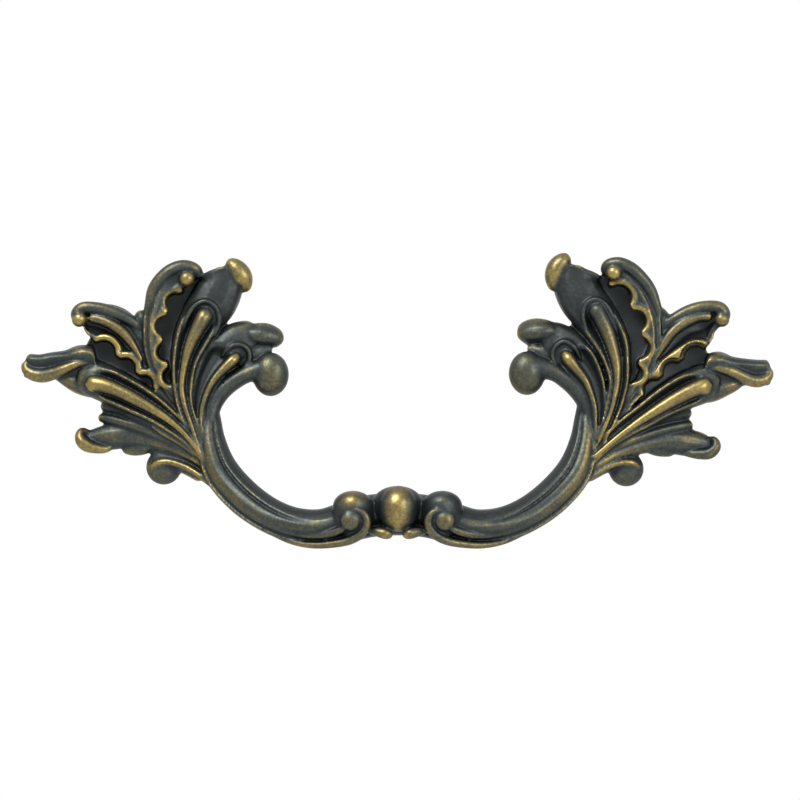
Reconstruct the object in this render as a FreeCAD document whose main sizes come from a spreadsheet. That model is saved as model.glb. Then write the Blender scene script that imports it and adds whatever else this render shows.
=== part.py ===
import FreeCAD, Part
import math
import os

V = FreeCAD.Vector

# Driving sizes in millimetres, as (alias, value, what it is).
SIZES = [
    ("screw_spacing", 76.2, "between the two fixing holes"),
    ("fan_out", 25.4, "outermost leaf tip, from its own hole"),
    ("fan_up", 21.2, "highest leaf tip, above the holes"),
    ("leaf_front", 12.6, "front of the leaf roots, from the drawer face"),
    ("floor_front", 6.4, "front of the sunk floors between the leaves"),
    ("grip_front", 24.5, "front of the grip at the middle"),
    ("grip_drop", 21.6, "how far the grip hangs below the holes"),
    ("grip_thick", 6.8, "grip from front to back"),
    ("bead_length", 7.4, "bead at the middle of the grip, up and down"),
    ("bead_width", 6.8, "the same bead, left to right"),
    ("hollow_deep", 4.4, "hollow back behind each fan"),
    ("rim_gap", 0.3, "back rim to drawer face, so that the bosses seat first"),
    ("boss_dia", 7.6, "round boss behind each fan"),
    ("bore_dia", 3.45, "tapping hole for a number 8 screw"),
    ("bore_deep", 6.0, "depth of the tapped hole"),
]

# The station lists below were drawn for these sizes and are stretched when a size changes.
DRAWN = {"screw_spacing": 76.2, "fan_out": 25.4, "fan_up": 21.2, "leaf_front": 12.6,
         "floor_front": 6.4, "grip_front": 24.5, "grip_drop": 21.6}

# Cross sections seen along a leaf, from its left edge to its right one: (across, height) in half
# widths, with the crest at height 0. The flats between the corners are the cuts of the carver.
FLUTED = [(-1, -0.6), (-0.8, 0), (-0.35, -0.55), (0.35, -0.55), (0.8, 0), (1, -0.6)]
CLOSED = [(-1, -0.7), (-0.8, -0.2), (-0.35, -0.02), (0.35, -0.02), (0.8, -0.2), (1, -0.7)]
DOMED = [(-1, -0.75), (-0.6, -0.1), (0.6, -0.1), (1, -0.75)]
ROUND = [(-1, -0.95), (-0.7, -0.28), (0, 0), (0.7, -0.28), (1, -0.95)]
RIBBED = [(-1, -0.9), (-0.55, -0.1), (0.55, -0.1), (1, -0.9)]
SIDE = [(-1, -1), (-0.5, -0.08), (0.3, -0.08), (1, -1)]
BROAD = [(-1, -0.75), (-0.5, -0.06), (0.45, -0.1), (1, -0.75)]
CROWN = [(-1, -0.1), (0.1, -0.06), (0.5, -0.46), (0.9, -0.42), (1, -0.9)]
SHOULDER = [(-1, -0.55), (-0.6, -0.2), (-0.1, -0.5), (0.35, -0.48), (1, 0)]
TIP = [(-1, -0.6), (-0.65, 0), (0.1, -0.28), (0.8, -0.5), (1, -0.9)]
FLAT = [(-1, 0), (1, 0)]
CLOSING = 2             # stations before a tip where a flute has closed
END_ROUND = 0.5         # how far the corners of an end draw back, in half widths

# How each kind of piece is cut: (cross section, depth below its own front, or None for down to the
# hollow back).
KINDS = {
    "upper_blade": (FLUTED, None), "inner_blade": (FLUTED, None), "outer_blade": (FLUTED, None),
    "outer_tip": (TIP, None), "inner_lobe": (SIDE, None), "under_fold": (SIDE, None),
    "upper_side": (SIDE, None), "lower_side": (SIDE, None), "lower_leaf": (BROAD, None),
    "crown_leaf": (CROWN, None), "shoulder_leaf": (SHOULDER, None), "scroll_stem": (DOMED, None),
    "upper_rib": (RIBBED, 3.2), "inner_rib": (RIBBED, 3.0), "outer_rib": (RIBBED, 3.2),
    "root_line": (RIBBED, 3.0), "upper_roll": (RIBBED, 3.6), "crown_roll": (RIBBED, 3.4),
    "shoulder_roll": (RIBBED, 3.3), "lower_roll": (RIBBED, 3.4), "inner_curl": (ROUND, 4.6),
    "recess_crown": (FLAT, None), "recess_shoulder": (FLAT, None), "recess_inner": (FLAT, None),
    "recess_curl": (FLAT, None),
}

# What is joined first, before the groups become one fan.
GROUPS = {
    "blades": ["upper_blade", "inner_blade", "outer_blade", "recess_inner", "recess_curl"],
    "ribs": ["upper_rib", "inner_rib", "outer_rib"],
    "tip": ["outer_tip", "under_fold"],
    "curls": ["inner_lobe", "inner_curl", "curl_knob", "upper_roll"],
    "sides": ["upper_side", "lower_side", "lower_leaf", "lower_roll"],
    "foot": ["scroll_stem", "scroll_knob", "root_line"],
    "crown": ["crown_leaf", "crown_roll", "crown_knob", "recess_crown"],
    "shoulder": ["shoulder_leaf", "shoulder_roll", "shoulder_knob", "recess_shoulder"],
}

# One station on a piece is (out, up, half width, front). Out and up start at the fan's own hole,
# out pointing away from the grip, and front is the height of the crest above the drawer face.
LEFT_LEAVES = {
    "upper_blade": [(-7.9, -16.5, 0.7, 13.6), (-6.4, -13.8, 0.8, 13.2), (-4.6, -10.4, 1.0, 12.9),
        (-3.1, -6.5, 1.3, 12.7), (-2.0, -2.9, 1.5, 12.6), (-1.8, 0.7, 1.9, 12.5), (-2.2, 4.3, 2.4, 12.3),
        (-3.4, 8.0, 3.2, 11.9), (-5.2, 11.6, 3.6, 11.4), (-7.3, 14.5, 3.9, 11.4), (-8.9, 17.2, 3.6, 10.6),
        (-10.2, 19.1, 2.3, 9.0)],
    "inner_blade": [(-7.3, -15.3, 0.5, 13.2), (-5.8, -12.0, 0.7, 12.9), (-4.9, -8.9, 0.8, 12.6),
        (-4.6, -5.9, 1.1, 12.4), (-4.6, -2.9, 1.4, 12.2), (-5.3, 0.1, 1.9, 11.9), (-6.7, 3.1, 2.5, 11.5),
        (-8.8, 5.9, 3.2, 11.0), (-11.5, 7.4, 3.4, 10.4), (-13.9, 8.0, 2.7, 9.6), (-14.8, 8.0, 1.5, 8.6)],
    "outer_blade": [(-8.8, -18.6, 0.5, 13.8), (-7.3, -15.3, 0.7, 13.4), (-5.2, -12.0, 1.0, 13.0),
        (-2.8, -8.9, 1.4, 12.8), (0.3, -6.2, 1.9, 12.6), (3.3, -4.0, 2.4, 12.2), (6.3, -2.3, 2.8, 11.7),
        (9.3, -0.8, 3.0, 11.2), (12.3, 0.6, 3.1, 10.8), (14.5, 1.6, 2.9, 10.2), (15.8, 2.5, 2.1, 9.2)],
    "outer_tip": [(13.0, 3.7, 2.7, 10.2), (15.4, 3.7, 3.1, 10.0), (17.8, 3.4, 2.6, 9.4),
        (20.2, 3.4, 2.2, 8.8), (22.6, 3.1, 2.1, 8.4), (24.3, 3.2, 1.9, 8.0), (25.3, 3.7, 1.4, 7.4)],
    "inner_lobe": [(-11.5, 8.6, 0.9, 9.6), (-13.6, 8.6, 1.8, 10.2), (-15.7, 8.4, 2.1, 10.2),
        (-17.5, 8.0, 1.7, 9.6), (-18.8, 7.7, 1.1, 8.8)],
    "under_fold": [(19.9, 1.7, 0.6, 7.6), (18.1, 1.1, 1.3, 8.4), (16.3, 0.5, 1.8, 8.8),
        (14.5, -0.2, 1.8, 9.2), (12.3, -1.2, 1.3, 9.6)],
    "upper_side": [(-2.8, -10.4, 0.5, 12.2), (-0.3, -8.6, 0.7, 11.8), (2.7, -7.0, 0.8, 11.2),
        (5.7, -5.5, 1.0, 10.4), (8.7, -4.1, 1.1, 9.6), (10.8, -3.7, 1.0, 8.8), (11.9, -3.7, 0.7, 7.8)],
    "lower_side": [(-3.4, -11.7, 0.5, 12.0), (-0.6, -10.0, 0.6, 11.6), (2.4, -8.5, 0.8, 10.9),
        (5.4, -7.3, 0.9, 10.2), (8.4, -6.4, 1.0, 9.4), (10.8, -5.8, 1.0, 8.6), (12.2, -5.6, 0.6, 7.6)],
    "lower_leaf": [(-6.4, -14.7, 0.5, 12.8), (-4.0, -12.6, 0.7, 12.2), (-1.2, -11.1, 1.0, 11.4),
        (1.8, -9.8, 1.4, 10.6), (4.8, -9.1, 1.8, 9.8), (7.8, -8.6, 2.1, 9.2), (10.5, -8.8, 2.2, 8.8),
        (13.0, -9.2, 1.9, 8.2), (15.1, -9.3, 1.3, 7.6)],
    "crown_leaf": [(-2.4, -5.9, 0.5, 11.6), (-1.2, -3.5, 0.7, 11.6), (0.6, -0.5, 1.1, 11.6),
        (2.4, 2.5, 1.3, 11.5), (3.4, 5.6, 1.4, 11.4), (3.6, 8.6, 1.5, 11.2), (3.3, 11.6, 1.7, 11.0),
        (2.4, 14.6, 2.0, 10.7), (0.9, 17.2, 2.2, 10.4), (-1.2, 18.7, 2.1, 10.0), (-3.4, 18.8, 1.7, 9.4),
        (-4.3, 18.4, 0.9, 8.6)],
    "shoulder_leaf": [(-1.5, -5.3, 0.4, 11.4), (0.3, -2.9, 0.7, 11.3), (2.1, -0.6, 1.1, 11.2),
        (4.0, 2.1, 1.8, 11.0), (6.6, 6.3, 2.9, 10.6), (9.4, 9.6, 3.2, 10.1), (12.6, 10.7, 2.8, 9.6),
        (14.9, 10.9, 2.0, 9.0)],
    "scroll_stem": [(-5.2, -15.9, 0.9, 12.2), (-2.8, -14.1, 1.3, 11.4), (-0.3, -12.6, 1.7, 10.8),
        (1.8, -12.0, 1.9, 10.2), (3.6, -12.3, 1.4, 9.4)],
    "upper_rib": [(-5.0, -11.7, 0.3, 13.2), (-4.0, -9.2, 0.4, 13.2), (-3.1, -6.5, 0.4, 13.1),
        (-2.1, -3.5, 0.5, 13.0), (-1.6, -0.5, 0.5, 12.9), (-2.0, 3.1, 0.6, 12.9), (-2.9, 6.5, 0.9, 12.8),
        (-4.3, 9.6, 1.2, 12.7), (-5.6, 12.0, 1.4, 12.4), (-6.1, 13.1, 0.9, 11.4)],
    "inner_rib": [(-5.3, -9.5, 0.3, 12.8), (-4.9, -6.8, 0.3, 12.8), (-5.0, -4.1, 0.4, 12.7),
        (-5.8, -1.4, 0.5, 12.6), (-7.1, 1.0, 0.6, 12.5), (-8.9, 3.0, 0.8, 12.3), (-10.5, 4.5, 0.9, 12.1),
        (-11.2, 5.3, 0.6, 11.2)],
    "outer_rib": [(-5.9, -13.3, 0.4, 13.4), (-4.0, -10.6, 0.4, 13.4), (-1.8, -8.0, 0.5, 13.3),
        (0.6, -5.9, 0.6, 13.2), (3.3, -4.1, 0.8, 13.0), (6.3, -2.4, 1.0, 12.8), (9.3, -0.9, 1.1, 12.5),
        (12.3, 0.1, 1.3, 12.2), (13.9, 0.2, 1.3, 11.8), (14.8, 0.1, 0.8, 10.8)],
    "root_line": [(-12.4, -21.0, 0.9, 15.4), (-10.3, -18.6, 1.1, 14.8), (-8.2, -15.9, 1.2, 14.2),
        (-6.1, -12.9, 0.9, 13.7), (-4.6, -10.4, 0.4, 13.2)],
    "upper_roll": [(-9.2, 20.3, 0.8, 9.6), (-10.6, 20.0, 1.3, 10.8), (-12.0, 18.4, 1.4, 11.0),
        (-12.0, 16.4, 0.9, 10.0)],
    "crown_roll": [(5.3, 9.5, 0.4, 9.4), (4.3, 11.9, 0.7, 10.2), (3.9, 14.0, 0.8, 10.6),
        (3.3, 16.1, 1.0, 10.7), (1.9, 18.1, 1.1, 10.8), (0.0, 19.6, 1.1, 10.8), (-2.1, 20.1, 1.1, 10.6),
        (-4.0, 19.4, 1.0, 10.2), (-4.6, 18.1, 0.6, 9.4)],
    "shoulder_roll": [(6.3, 10.4, 0.7, 10.2), (8.4, 11.6, 1.0, 10.3), (10.8, 12.5, 1.1, 10.3),
        (13.3, 13.1, 1.0, 10.2), (15.4, 13.0, 1.0, 10.1), (16.2, 11.9, 1.1, 10.0),
        (15.8, 10.8, 0.8, 9.4)],
    "lower_roll": [(14.2, -7.9, 0.4, 7.6), (15.4, -8.0, 0.8, 8.6), (15.6, -9.1, 1.0, 9.2),
        (14.8, -10.1, 1.1, 9.4), (13.1, -10.7, 0.9, 9.2), (11.4, -10.8, 0.7, 8.8),
        (10.2, -10.4, 0.4, 8.2)],
    "inner_curl": [(-5.9, -8.3, 1.0, 12.0), (-6.4, -5.3, 1.3, 11.9), (-7.2, -2.7, 1.5, 11.6),
        (-8.6, -0.7, 1.6, 11.4), (-10.6, 0.8, 1.5, 11.2), (-12.7, 1.9, 1.6, 11.2),
        (-14.8, 2.5, 1.9, 11.2), (-16.4, 2.6, 1.9, 11.3)],
    "recess_crown": [(-0.6, -2.3, 0.9, 9.8), (0.6, 1.3, 1.8, 8.8), (0.9, 5.6, 2.7, 7.4),
        (0.3, 9.5, 3.0, 6.6), (-0.9, 13.1, 2.7, 6.4), (-2.4, 15.5, 2.1, 6.6), (-3.7, 17.2, 1.8, 7.0),
        (-4.3, 18.2, 1.2, 7.2)],
    "recess_shoulder": [(0.9, -2.0, 0.9, 9.8), (3.6, 0.7, 1.8, 8.6), (6.9, 3.1, 2.7, 7.2),
        (10.2, 5.3, 2.9, 6.6), (13.3, 6.8, 2.1, 6.4), (14.5, 7.2, 1.2, 6.4)],
    "recess_inner": [(-4.6, -1.1, 0.6, 10.4), (-5.2, 2.5, 1.1, 9.4), (-6.7, 5.9, 1.5, 8.4),
        (-8.5, 8.6, 1.5, 7.4), (-9.4, 10.1, 0.9, 7.0)],
    "recess_curl": [(-5.8, -3.0, 0.9, 10.6), (-7.4, 0.6, 1.2, 9.8), (-9.6, 2.4, 1.2, 9.0),
        (-12.0, 3.3, 1.0, 8.4), (-13.6, 3.8, 0.6, 8.0)],
}
RIGHT_LEAVES = {
    "upper_blade": [(-8.0, -16.5, 0.7, 13.6), (-6.3, -13.9, 0.8, 13.2), (-4.7, -11.1, 1.0, 12.9),
        (-3.2, -8.0, 1.1, 12.7), (-2.0, -5.0, 1.4, 12.6), (-1.2, -2.3, 1.6, 12.5), (-0.7, 0.7, 1.8, 12.4),
        (-1.0, 3.7, 2.3, 12.2), (-1.8, 6.8, 3.0, 11.9), (-3.4, 9.8, 3.4, 11.5), (-5.3, 12.5, 3.7, 11.4),
        (-7.1, 14.9, 3.6, 11.3), (-8.8, 17.3, 3.4, 10.5), (-10.3, 19.3, 2.2, 9.0)],
    "inner_blade": [(-5.6, -12.3, 0.7, 12.9), (-4.7, -9.2, 0.8, 12.6), (-4.2, -6.2, 1.1, 12.4),
        (-4.2, -3.2, 1.4, 12.2), (-4.7, -0.2, 1.9, 11.9), (-6.0, 2.5, 2.5, 11.5), (-8.0, 5.0, 3.2, 11.0),
        (-10.6, 6.8, 3.5, 10.4), (-13.1, 8.0, 2.8, 9.6), (-14.2, 8.1, 1.5, 8.6)],
    "outer_blade": [(-9.4, -18.6, 0.5, 13.8), (-7.6, -15.3, 0.7, 13.4), (-5.1, -12.3, 1.0, 13.0),
        (-2.4, -9.5, 1.4, 12.8), (0.6, -7.1, 1.8, 12.6), (3.6, -5.2, 2.2, 12.2), (6.6, -3.2, 2.6, 11.7),
        (9.7, -1.5, 3.0, 11.2), (12.7, -0.2, 3.2, 10.8), (14.8, 0.6, 3.1, 10.2), (16.5, 1.0, 2.5, 9.2)],
    "outer_tip": [(13.9, 2.5, 2.7, 10.2), (16.1, 2.4, 3.3, 10.0), (18.4, 2.2, 2.7, 9.4),
        (20.8, 2.2, 2.3, 8.8), (22.9, 2.1, 2.2, 8.4), (24.3, 2.1, 2.0, 8.0), (25.4, 2.4, 1.4, 7.4)],
    "inner_lobe": [(-10.6, 8.7, 0.9, 9.6), (-12.7, 9.2, 1.8, 10.2), (-14.8, 9.1, 2.2, 10.2),
        (-16.6, 8.7, 1.9, 9.6), (-17.8, 8.3, 1.1, 8.8)],
    "under_fold": [(20.5, 0.6, 0.6, 7.6), (18.9, 0.2, 1.3, 8.4), (16.9, -0.3, 1.8, 8.8),
        (15.1, -1.1, 1.8, 9.2), (13.0, -2.1, 1.3, 9.6)],
    "upper_side": [(-3.0, -10.8, 0.5, 12.2), (-0.3, -9.1, 0.7, 11.8), (2.4, -7.4, 0.8, 11.2),
        (5.1, -5.9, 1.0, 10.4), (7.8, -4.9, 1.1, 9.6), (10.0, -4.4, 1.1, 8.8), (11.2, -4.3, 0.7, 7.8)],
    "lower_side": [(-3.3, -11.7, 0.5, 12.0), (-0.6, -10.3, 0.6, 11.6), (2.4, -9.1, 0.8, 10.9),
        (5.1, -8.2, 0.9, 10.2), (7.8, -7.6, 1.0, 9.4), (10.3, -7.1, 1.0, 8.6), (11.6, -6.7, 0.6, 7.6)],
    "lower_leaf": [(-5.7, -14.4, 0.5, 12.8), (-3.3, -12.9, 0.7, 12.2), (-0.6, -11.5, 1.0, 11.4),
        (2.4, -10.4, 1.4, 10.6), (5.4, -9.7, 1.8, 9.8), (8.4, -9.5, 2.2, 9.2), (11.2, -9.8, 2.3, 8.8),
        (13.6, -10.2, 2.0, 8.2), (15.2, -10.4, 1.3, 7.6)],
    "crown_leaf": [(-1.2, -5.9, 0.5, 11.6), (0.0, -3.5, 0.7, 11.6), (1.8, -0.5, 1.0, 11.6),
        (3.6, 2.2, 1.3, 11.5), (4.8, 5.3, 1.4, 11.4), (5.1, 8.3, 1.6, 11.2), (4.7, 11.3, 1.8, 11.0),
        (3.6, 14.3, 2.1, 10.7), (1.8, 17.0, 2.2, 10.4), (-0.3, 18.8, 2.1, 10.0), (-2.1, 19.4, 1.6, 9.4),
        (-3.0, 19.1, 0.9, 8.6)],
    "shoulder_leaf": [(-0.6, -5.3, 0.4, 11.4), (1.2, -2.9, 0.7, 11.3), (3.0, -0.3, 1.2, 11.2),
        (5.0, 2.7, 1.9, 11.0), (7.6, 6.5, 2.9, 10.6), (10.4, 9.5, 3.2, 10.1), (13.4, 10.8, 2.7, 9.6),
        (15.3, 11.0, 2.0, 9.0)],
    "scroll_stem": [(-6.3, -15.9, 0.9, 12.2), (-3.9, -14.1, 1.3, 11.4), (-1.5, -12.6, 1.7, 10.8),
        (0.6, -12.1, 1.9, 10.2), (2.4, -12.4, 1.4, 9.4)],
    "upper_rib": [(-4.2, -9.8, 0.3, 13.2), (-3.2, -7.4, 0.4, 13.2), (-2.1, -4.7, 0.4, 13.1),
        (-1.4, -2.0, 0.5, 13.0), (-1.0, 0.7, 0.6, 12.9), (-1.1, 3.4, 0.8, 12.9), (-1.7, 6.2, 1.0, 12.8),
        (-2.7, 9.2, 1.2, 12.7), (-3.9, 11.7, 1.3, 12.6), (-4.7, 13.3, 1.3, 12.2),
        (-5.0, 14.0, 0.7, 11.2)],
    "inner_rib": [(-4.8, -9.2, 0.3, 12.8), (-4.6, -6.5, 0.3, 12.8), (-4.7, -4.1, 0.4, 12.7),
        (-5.3, -1.7, 0.5, 12.6), (-6.3, 0.7, 0.6, 12.5), (-7.9, 2.8, 0.8, 12.3), (-9.4, 4.7, 1.0, 12.1),
        (-10.1, 5.7, 0.6, 11.2)],
    "outer_rib": [(-5.0, -12.3, 0.4, 13.4), (-3.0, -10.6, 0.4, 13.4), (-0.6, -8.6, 0.5, 13.3),
        (1.8, -6.8, 0.6, 13.2), (4.2, -5.2, 0.8, 13.0), (6.9, -3.5, 1.0, 12.8), (9.7, -1.9, 1.2, 12.5),
        (12.4, -0.6, 1.3, 12.2), (14.2, -0.1, 1.4, 11.8), (15.2, 0.0, 0.8, 10.8)],
    "root_line": [(-11.8, -20.7, 0.9, 15.4), (-10.0, -18.3, 1.1, 14.8), (-8.0, -15.6, 1.2, 14.2),
        (-6.2, -13.2, 1.0, 13.7), (-4.5, -11.1, 0.4, 13.2)],
    "upper_roll": [(-9.1, 21.5, 0.8, 9.6), (-10.0, 21.3, 1.3, 10.4), (-11.2, 20.3, 1.5, 11.0),
        (-11.9, 18.8, 1.4, 11.0), (-11.7, 17.3, 1.1, 10.4), (-11.1, 16.1, 0.6, 9.4)],
    "crown_roll": [(6.6, 9.2, 0.4, 9.4), (6.2, 11.6, 0.7, 10.2), (5.6, 14.0, 0.8, 10.6),
        (4.7, 16.1, 1.0, 10.7), (3.2, 18.1, 1.1, 10.8), (1.2, 19.9, 1.1, 10.8), (-0.9, 20.6, 1.1, 10.6),
        (-2.6, 20.1, 1.0, 10.2), (-3.1, 18.7, 0.6, 9.4)],
    "shoulder_roll": [(7.2, 10.4, 0.7, 10.2), (9.4, 11.6, 1.0, 10.3), (11.8, 12.7, 1.1, 10.3),
        (14.2, 13.3, 1.0, 10.2), (16.5, 13.0, 1.1, 10.1), (17.2, 11.9, 1.1, 10.0),
        (16.8, 10.8, 0.9, 9.4)],
    "lower_roll": [(14.5, -9.1, 0.4, 7.6), (15.5, -9.4, 0.7, 8.6), (15.8, -10.4, 0.9, 9.2),
        (14.8, -11.5, 1.0, 9.4), (13.1, -11.7, 0.9, 9.2), (11.5, -11.6, 0.7, 8.8),
        (10.0, -11.4, 0.4, 8.2)],
    "inner_curl": [(-4.5, -8.3, 1.0, 12.0), (-5.5, -5.3, 1.3, 11.9), (-6.3, -2.9, 1.5, 11.6),
        (-7.6, -0.9, 1.6, 11.4), (-9.4, 0.7, 1.5, 11.2), (-11.5, 2.1, 1.6, 11.2), (-13.7, 2.8, 1.9, 11.2),
        (-15.3, 2.9, 1.9, 11.3)],
    "recess_crown": [(0.6, -2.3, 1.1, 9.8), (1.7, 1.3, 1.9, 8.8), (2.1, 5.6, 2.9, 7.4),
        (1.5, 9.5, 3.1, 6.6), (0.0, 13.1, 2.9, 6.4), (-1.8, 15.8, 2.2, 6.6), (-3.0, 17.3, 1.9, 7.0),
        (-3.5, 18.4, 1.4, 7.2)],
    "recess_shoulder": [(1.8, -2.0, 0.9, 9.8), (4.2, -0.2, 1.8, 8.6), (7.2, 1.9, 2.7, 7.2),
        (10.3, 4.0, 2.9, 6.6), (13.0, 5.6, 2.1, 6.4), (14.2, 6.2, 1.2, 6.4)],
    "recess_inner": [(-3.5, -1.1, 0.6, 10.4), (-4.2, 2.5, 1.1, 9.4), (-5.7, 5.9, 1.5, 8.4),
        (-7.6, 8.9, 1.5, 7.4), (-8.5, 10.4, 0.9, 7.0)],
    "recess_curl": [(-5.0, -3.0, 0.9, 10.6), (-6.6, 0.6, 1.2, 9.8), (-8.8, 2.4, 1.2, 9.0),
        (-11.2, 3.6, 1.0, 8.4), (-12.8, 4.4, 0.6, 8.0)],
}

# Teeth between the scallops in the inner edges of two leaves: (out, up).
LEFT_TEETH = {
    "crown_leaf": [(-1.7, 15.8), (0.9, 12.2), (1.7, 7.7), (0.7, 3.5), (-0.1, -0.5)],
    "shoulder_leaf": [(13.3, 7.5), (9.2, 4.8), (5.9, 1.9), (2.9, -0.8)],
}
RIGHT_TEETH = {
    "crown_leaf": [(-2.3, 16.9), (1.4, 13.1), (3.2, 8.7), (2.6, 3.9), (1.5, 0.1)],
    "shoulder_leaf": [(14.3, 6.4), (9.8, 4.2), (6.4, 1.4), (3.3, -2.0)],
}
BULGE = 0.42            # depth of a scallop as a share of the distance between its teeth

# Round knobs where a leaf curls in on itself: (out, up, radius, front).
LEFT_KNOBS = {"crown_knob": (-2.4, 18.0, 1.4, 11.2), "shoulder_knob": (15.8, 11.1, 1.3, 10.8),
              "curl_knob": (-16.7, 1.4, 2.9, 11.8), "scroll_knob": (1.5, -13.9, 3.0, 10.9)}
RIGHT_KNOBS = {"crown_knob": (-1.5, 19.0, 1.4, 11.2), "shoulder_knob": (16.8, 11.1, 1.3, 10.8),
               "curl_knob": (-15.9, 1.4, 2.9, 11.8), "scroll_knob": (0.6, -14.2, 3.0, 10.9)}

# Profiles of turned forms, in shares of their own radius. A knob faces the eye: (radius, depth below
# the crest). A roll stands upright: (radius, distance from its middle in half lengths).
BUTTON = [(0.42, 0.06), (0.78, 0.3), (1, 0.8)]
VOLUTE = [(0.22, 0), (0.42, 0.1), (0.58, 0.3), (0.72, 0.16), (0.86, 0.22), (1, 0.6)]
BARREL = [(0.62, 1), (1, 0.55), (1, -0.55), (0.62, -1)]
BEAD = [(0.35, 1), (0.8, 0.62), (1, 0.22), (1, -0.22), (0.8, -0.62), (0.35, -1)]

# Half of the grip, from inside the fan to the middle: (across, up, half width, front).
GRIP = [(31.2, -1.5, 1.3, 11.6), (31.5, -9.4, 2.4, 13.4), (30.0, -14.3, 3.0, 15.0),
        (26.3, -18.7, 3.1, 17.2), (21.8, -21.9, 3.0, 19.3), (17.5, -23.6, 3.0, 21.0),
        (13.0, -24.1, 3.2, 22.2), (9.4, -23.4, 3.5, 22.4), (6.2, -22.4, 3.6, 21.8),
        (3.0, -21.9, 3.6, 21.2), (0.0, -21.7, 3.7, 21.0)]

# Grip cross section seen along the grip, starting on its lower edge: (across in half widths, height in
# half widths) in front, and (across in half widths, share of the thickness) behind.
GRIP_FRONT = [(-1, -1.05), (-0.92, -0.45), (-0.76, -0.58), (-0.48, -0.18), (-0.05, 0), (0.42, -0.14),
              (0.8, -0.55), (1, -1.1)]
GRIP_BACK = [(0.9, -0.72), (0.45, -0.96), (-0.45, -0.96), (-0.9, -0.72)]

# Rolls and knobs at the middle of the grip: (across, up, radius, front), and half lengths of rolls.
VOLUTE_PLACE = (7.7, -22.6, 3.6, 24.3)
BARREL_PLACE, BARREL_LONG = (7.6, -20.9, 3.2, 24.0), 3.1
COLLAR_PLACE, COLLAR_LONG = (0.0, -20.4, 4.1, 22.9), 3.4
BEAD_UP = -21.0

# Back of a fan from its boss outwards: (distance from the hole, height above the drawer face as a
# share of hollow_deep). The low ring at 13.5 to 15.5 is the rim, and the leaf tips lift off again.
BACK = [(8.0, 1.0), (13.5, 0.0), (15.5, 0.0), (20.0, 0.7), (26.0, 0.95), (34.0, 1.0)]


def size(sheet, name):
    """A driving size as a plain number."""
    return float(sheet.get(name))


def stretch(sheet, name):
    """How far a size has moved from the value the stations were drawn for."""
    return size(sheet, name) / DRAWN[name]


def make_sheet(doc):
    """The driving sizes, one row each, with their aliases."""
    sheet = doc.addObject("Spreadsheet::Sheet", "sizes")
    for row, (alias, value, meaning) in enumerate(SIZES, start=1):
        sheet.set("A%d" % row, meaning)
        sheet.set("B%d" % row, str(value))
        sheet.setAlias("B%d" % row, alias)
    doc.recompute()
    return sheet


def headings(stations):
    """In-plane direction of travel at every station."""
    result = []
    for index in range(len(stations)):
        before = stations[max(index - 1, 0)]
        after = stations[min(index + 1, len(stations) - 1)]
        heading = V(after[0] - before[0], 0, after[1] - before[1])
        heading.normalize()
        result.append(heading)
    return result


def spline_strip(first, second):
    """Ruled face between two cubic splines whose poles run along the piece."""
    spans = len(first) - 3
    knots = [float(index) for index in range(spans + 1)]
    counts = [4] + [1] * (spans - 1) + [4]
    strip = Part.BSplineSurface()
    net = [list(pair) for pair in zip(first, second)]
    strip.buildFromPolesMultsKnots(net, counts, [2, 2], knots, [0.0, 1.0], False, False, 3, 1)
    return strip.toShape()


def skin(rings, ends):
    """Closed solid over a row of rings, each a list with the same number of corners."""
    lanes = list(zip(*rings))
    faces = [spline_strip(lanes[index - 1], lanes[index]) for index in range(len(lanes))]
    return sewn(faces + ends)


def rings_along(stations, corners_of):
    """Corner rings square to the run of the stations, facing away from the drawer."""
    rings = []
    for index, (station, heading) in enumerate(zip(stations, headings(stations))):
        x, up, half, front = station
        side = V(-heading.z, 0, heading.x) * half
        rings.append([V(x, -height, up) + side * across + heading * half * forward
                      for across, height, forward in corners_of(index, half, front)])
    return rings


def end_faces(ring):
    """The upright cuts round the end of a leaf, and the flat patch behind them."""
    front, low = ring[:-2], ring[-1].y
    feet = [V(corner.x, low, corner.z) for corner in front]
    faces = [flat_face([front[i - 1], front[i], feet[i], feet[i - 1]]) for i in range(1, len(front))]
    if len(front) > 2:
        faces.append(flat_face(feet))
    return faces


def leaf_solid(profiles, stations, back, thick=None):
    """A leaf with straight walls down to the height `back`, or `thick` below its own front.

    There is one cross section for each station. The corners draw back at both ends, which rounds them.
    """
    last = len(stations) - 1

    def corners_of(index, half, front):
        turn = {0: -END_ROUND, last: END_ROUND}.get(index, 0)
        face = [(across, front + rise * half, turn * (math.sqrt(1 - across * across) - 1))
                for across, rise in profiles[index]]
        low = back if thick is None else front - thick
        return face + [(face[-1][0], low, face[-1][2]), (face[0][0], low, face[0][2])]

    rings = rings_along(stations, corners_of)
    return skin(rings, end_faces(rings[0]) + end_faces(rings[-1]))


def sewn(faces):
    """One solid from faces that meet edge to edge."""
    shell = Part.makeShell(faces)
    shell.sewShape()
    solid = Part.Solid(Part.Shell(shell.Faces))
    if solid.Volume < 0:
        solid.reverse()
    return solid


def flat_face(corners):
    """A flat face round the given corners."""
    return Part.Face(Part.makePolygon(corners + corners[:1]))


def turned(profile, centre, axis, sides):
    """A turned form with flat cuts round it. The profile is (radius, distance along the axis)."""
    step = FreeCAD.Rotation(axis, 360.0 / sides)
    rings = []
    for radius, along in profile:
        spoke, ring = V(radius, 0, 0), []
        for _ in range(sides):
            ring.append(centre + axis * along + spoke)
            spoke = step.multVec(spoke)
        rings.append(ring)
    faces = [flat_face(rings[0]), flat_face(rings[-1])]
    for ring, further in zip(rings, rings[1:]):
        for side in range(sides):
            faces.append(flat_face([ring[side - 1], ring[side], further[side], further[side - 1]]))
    return sewn(faces)


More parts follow.
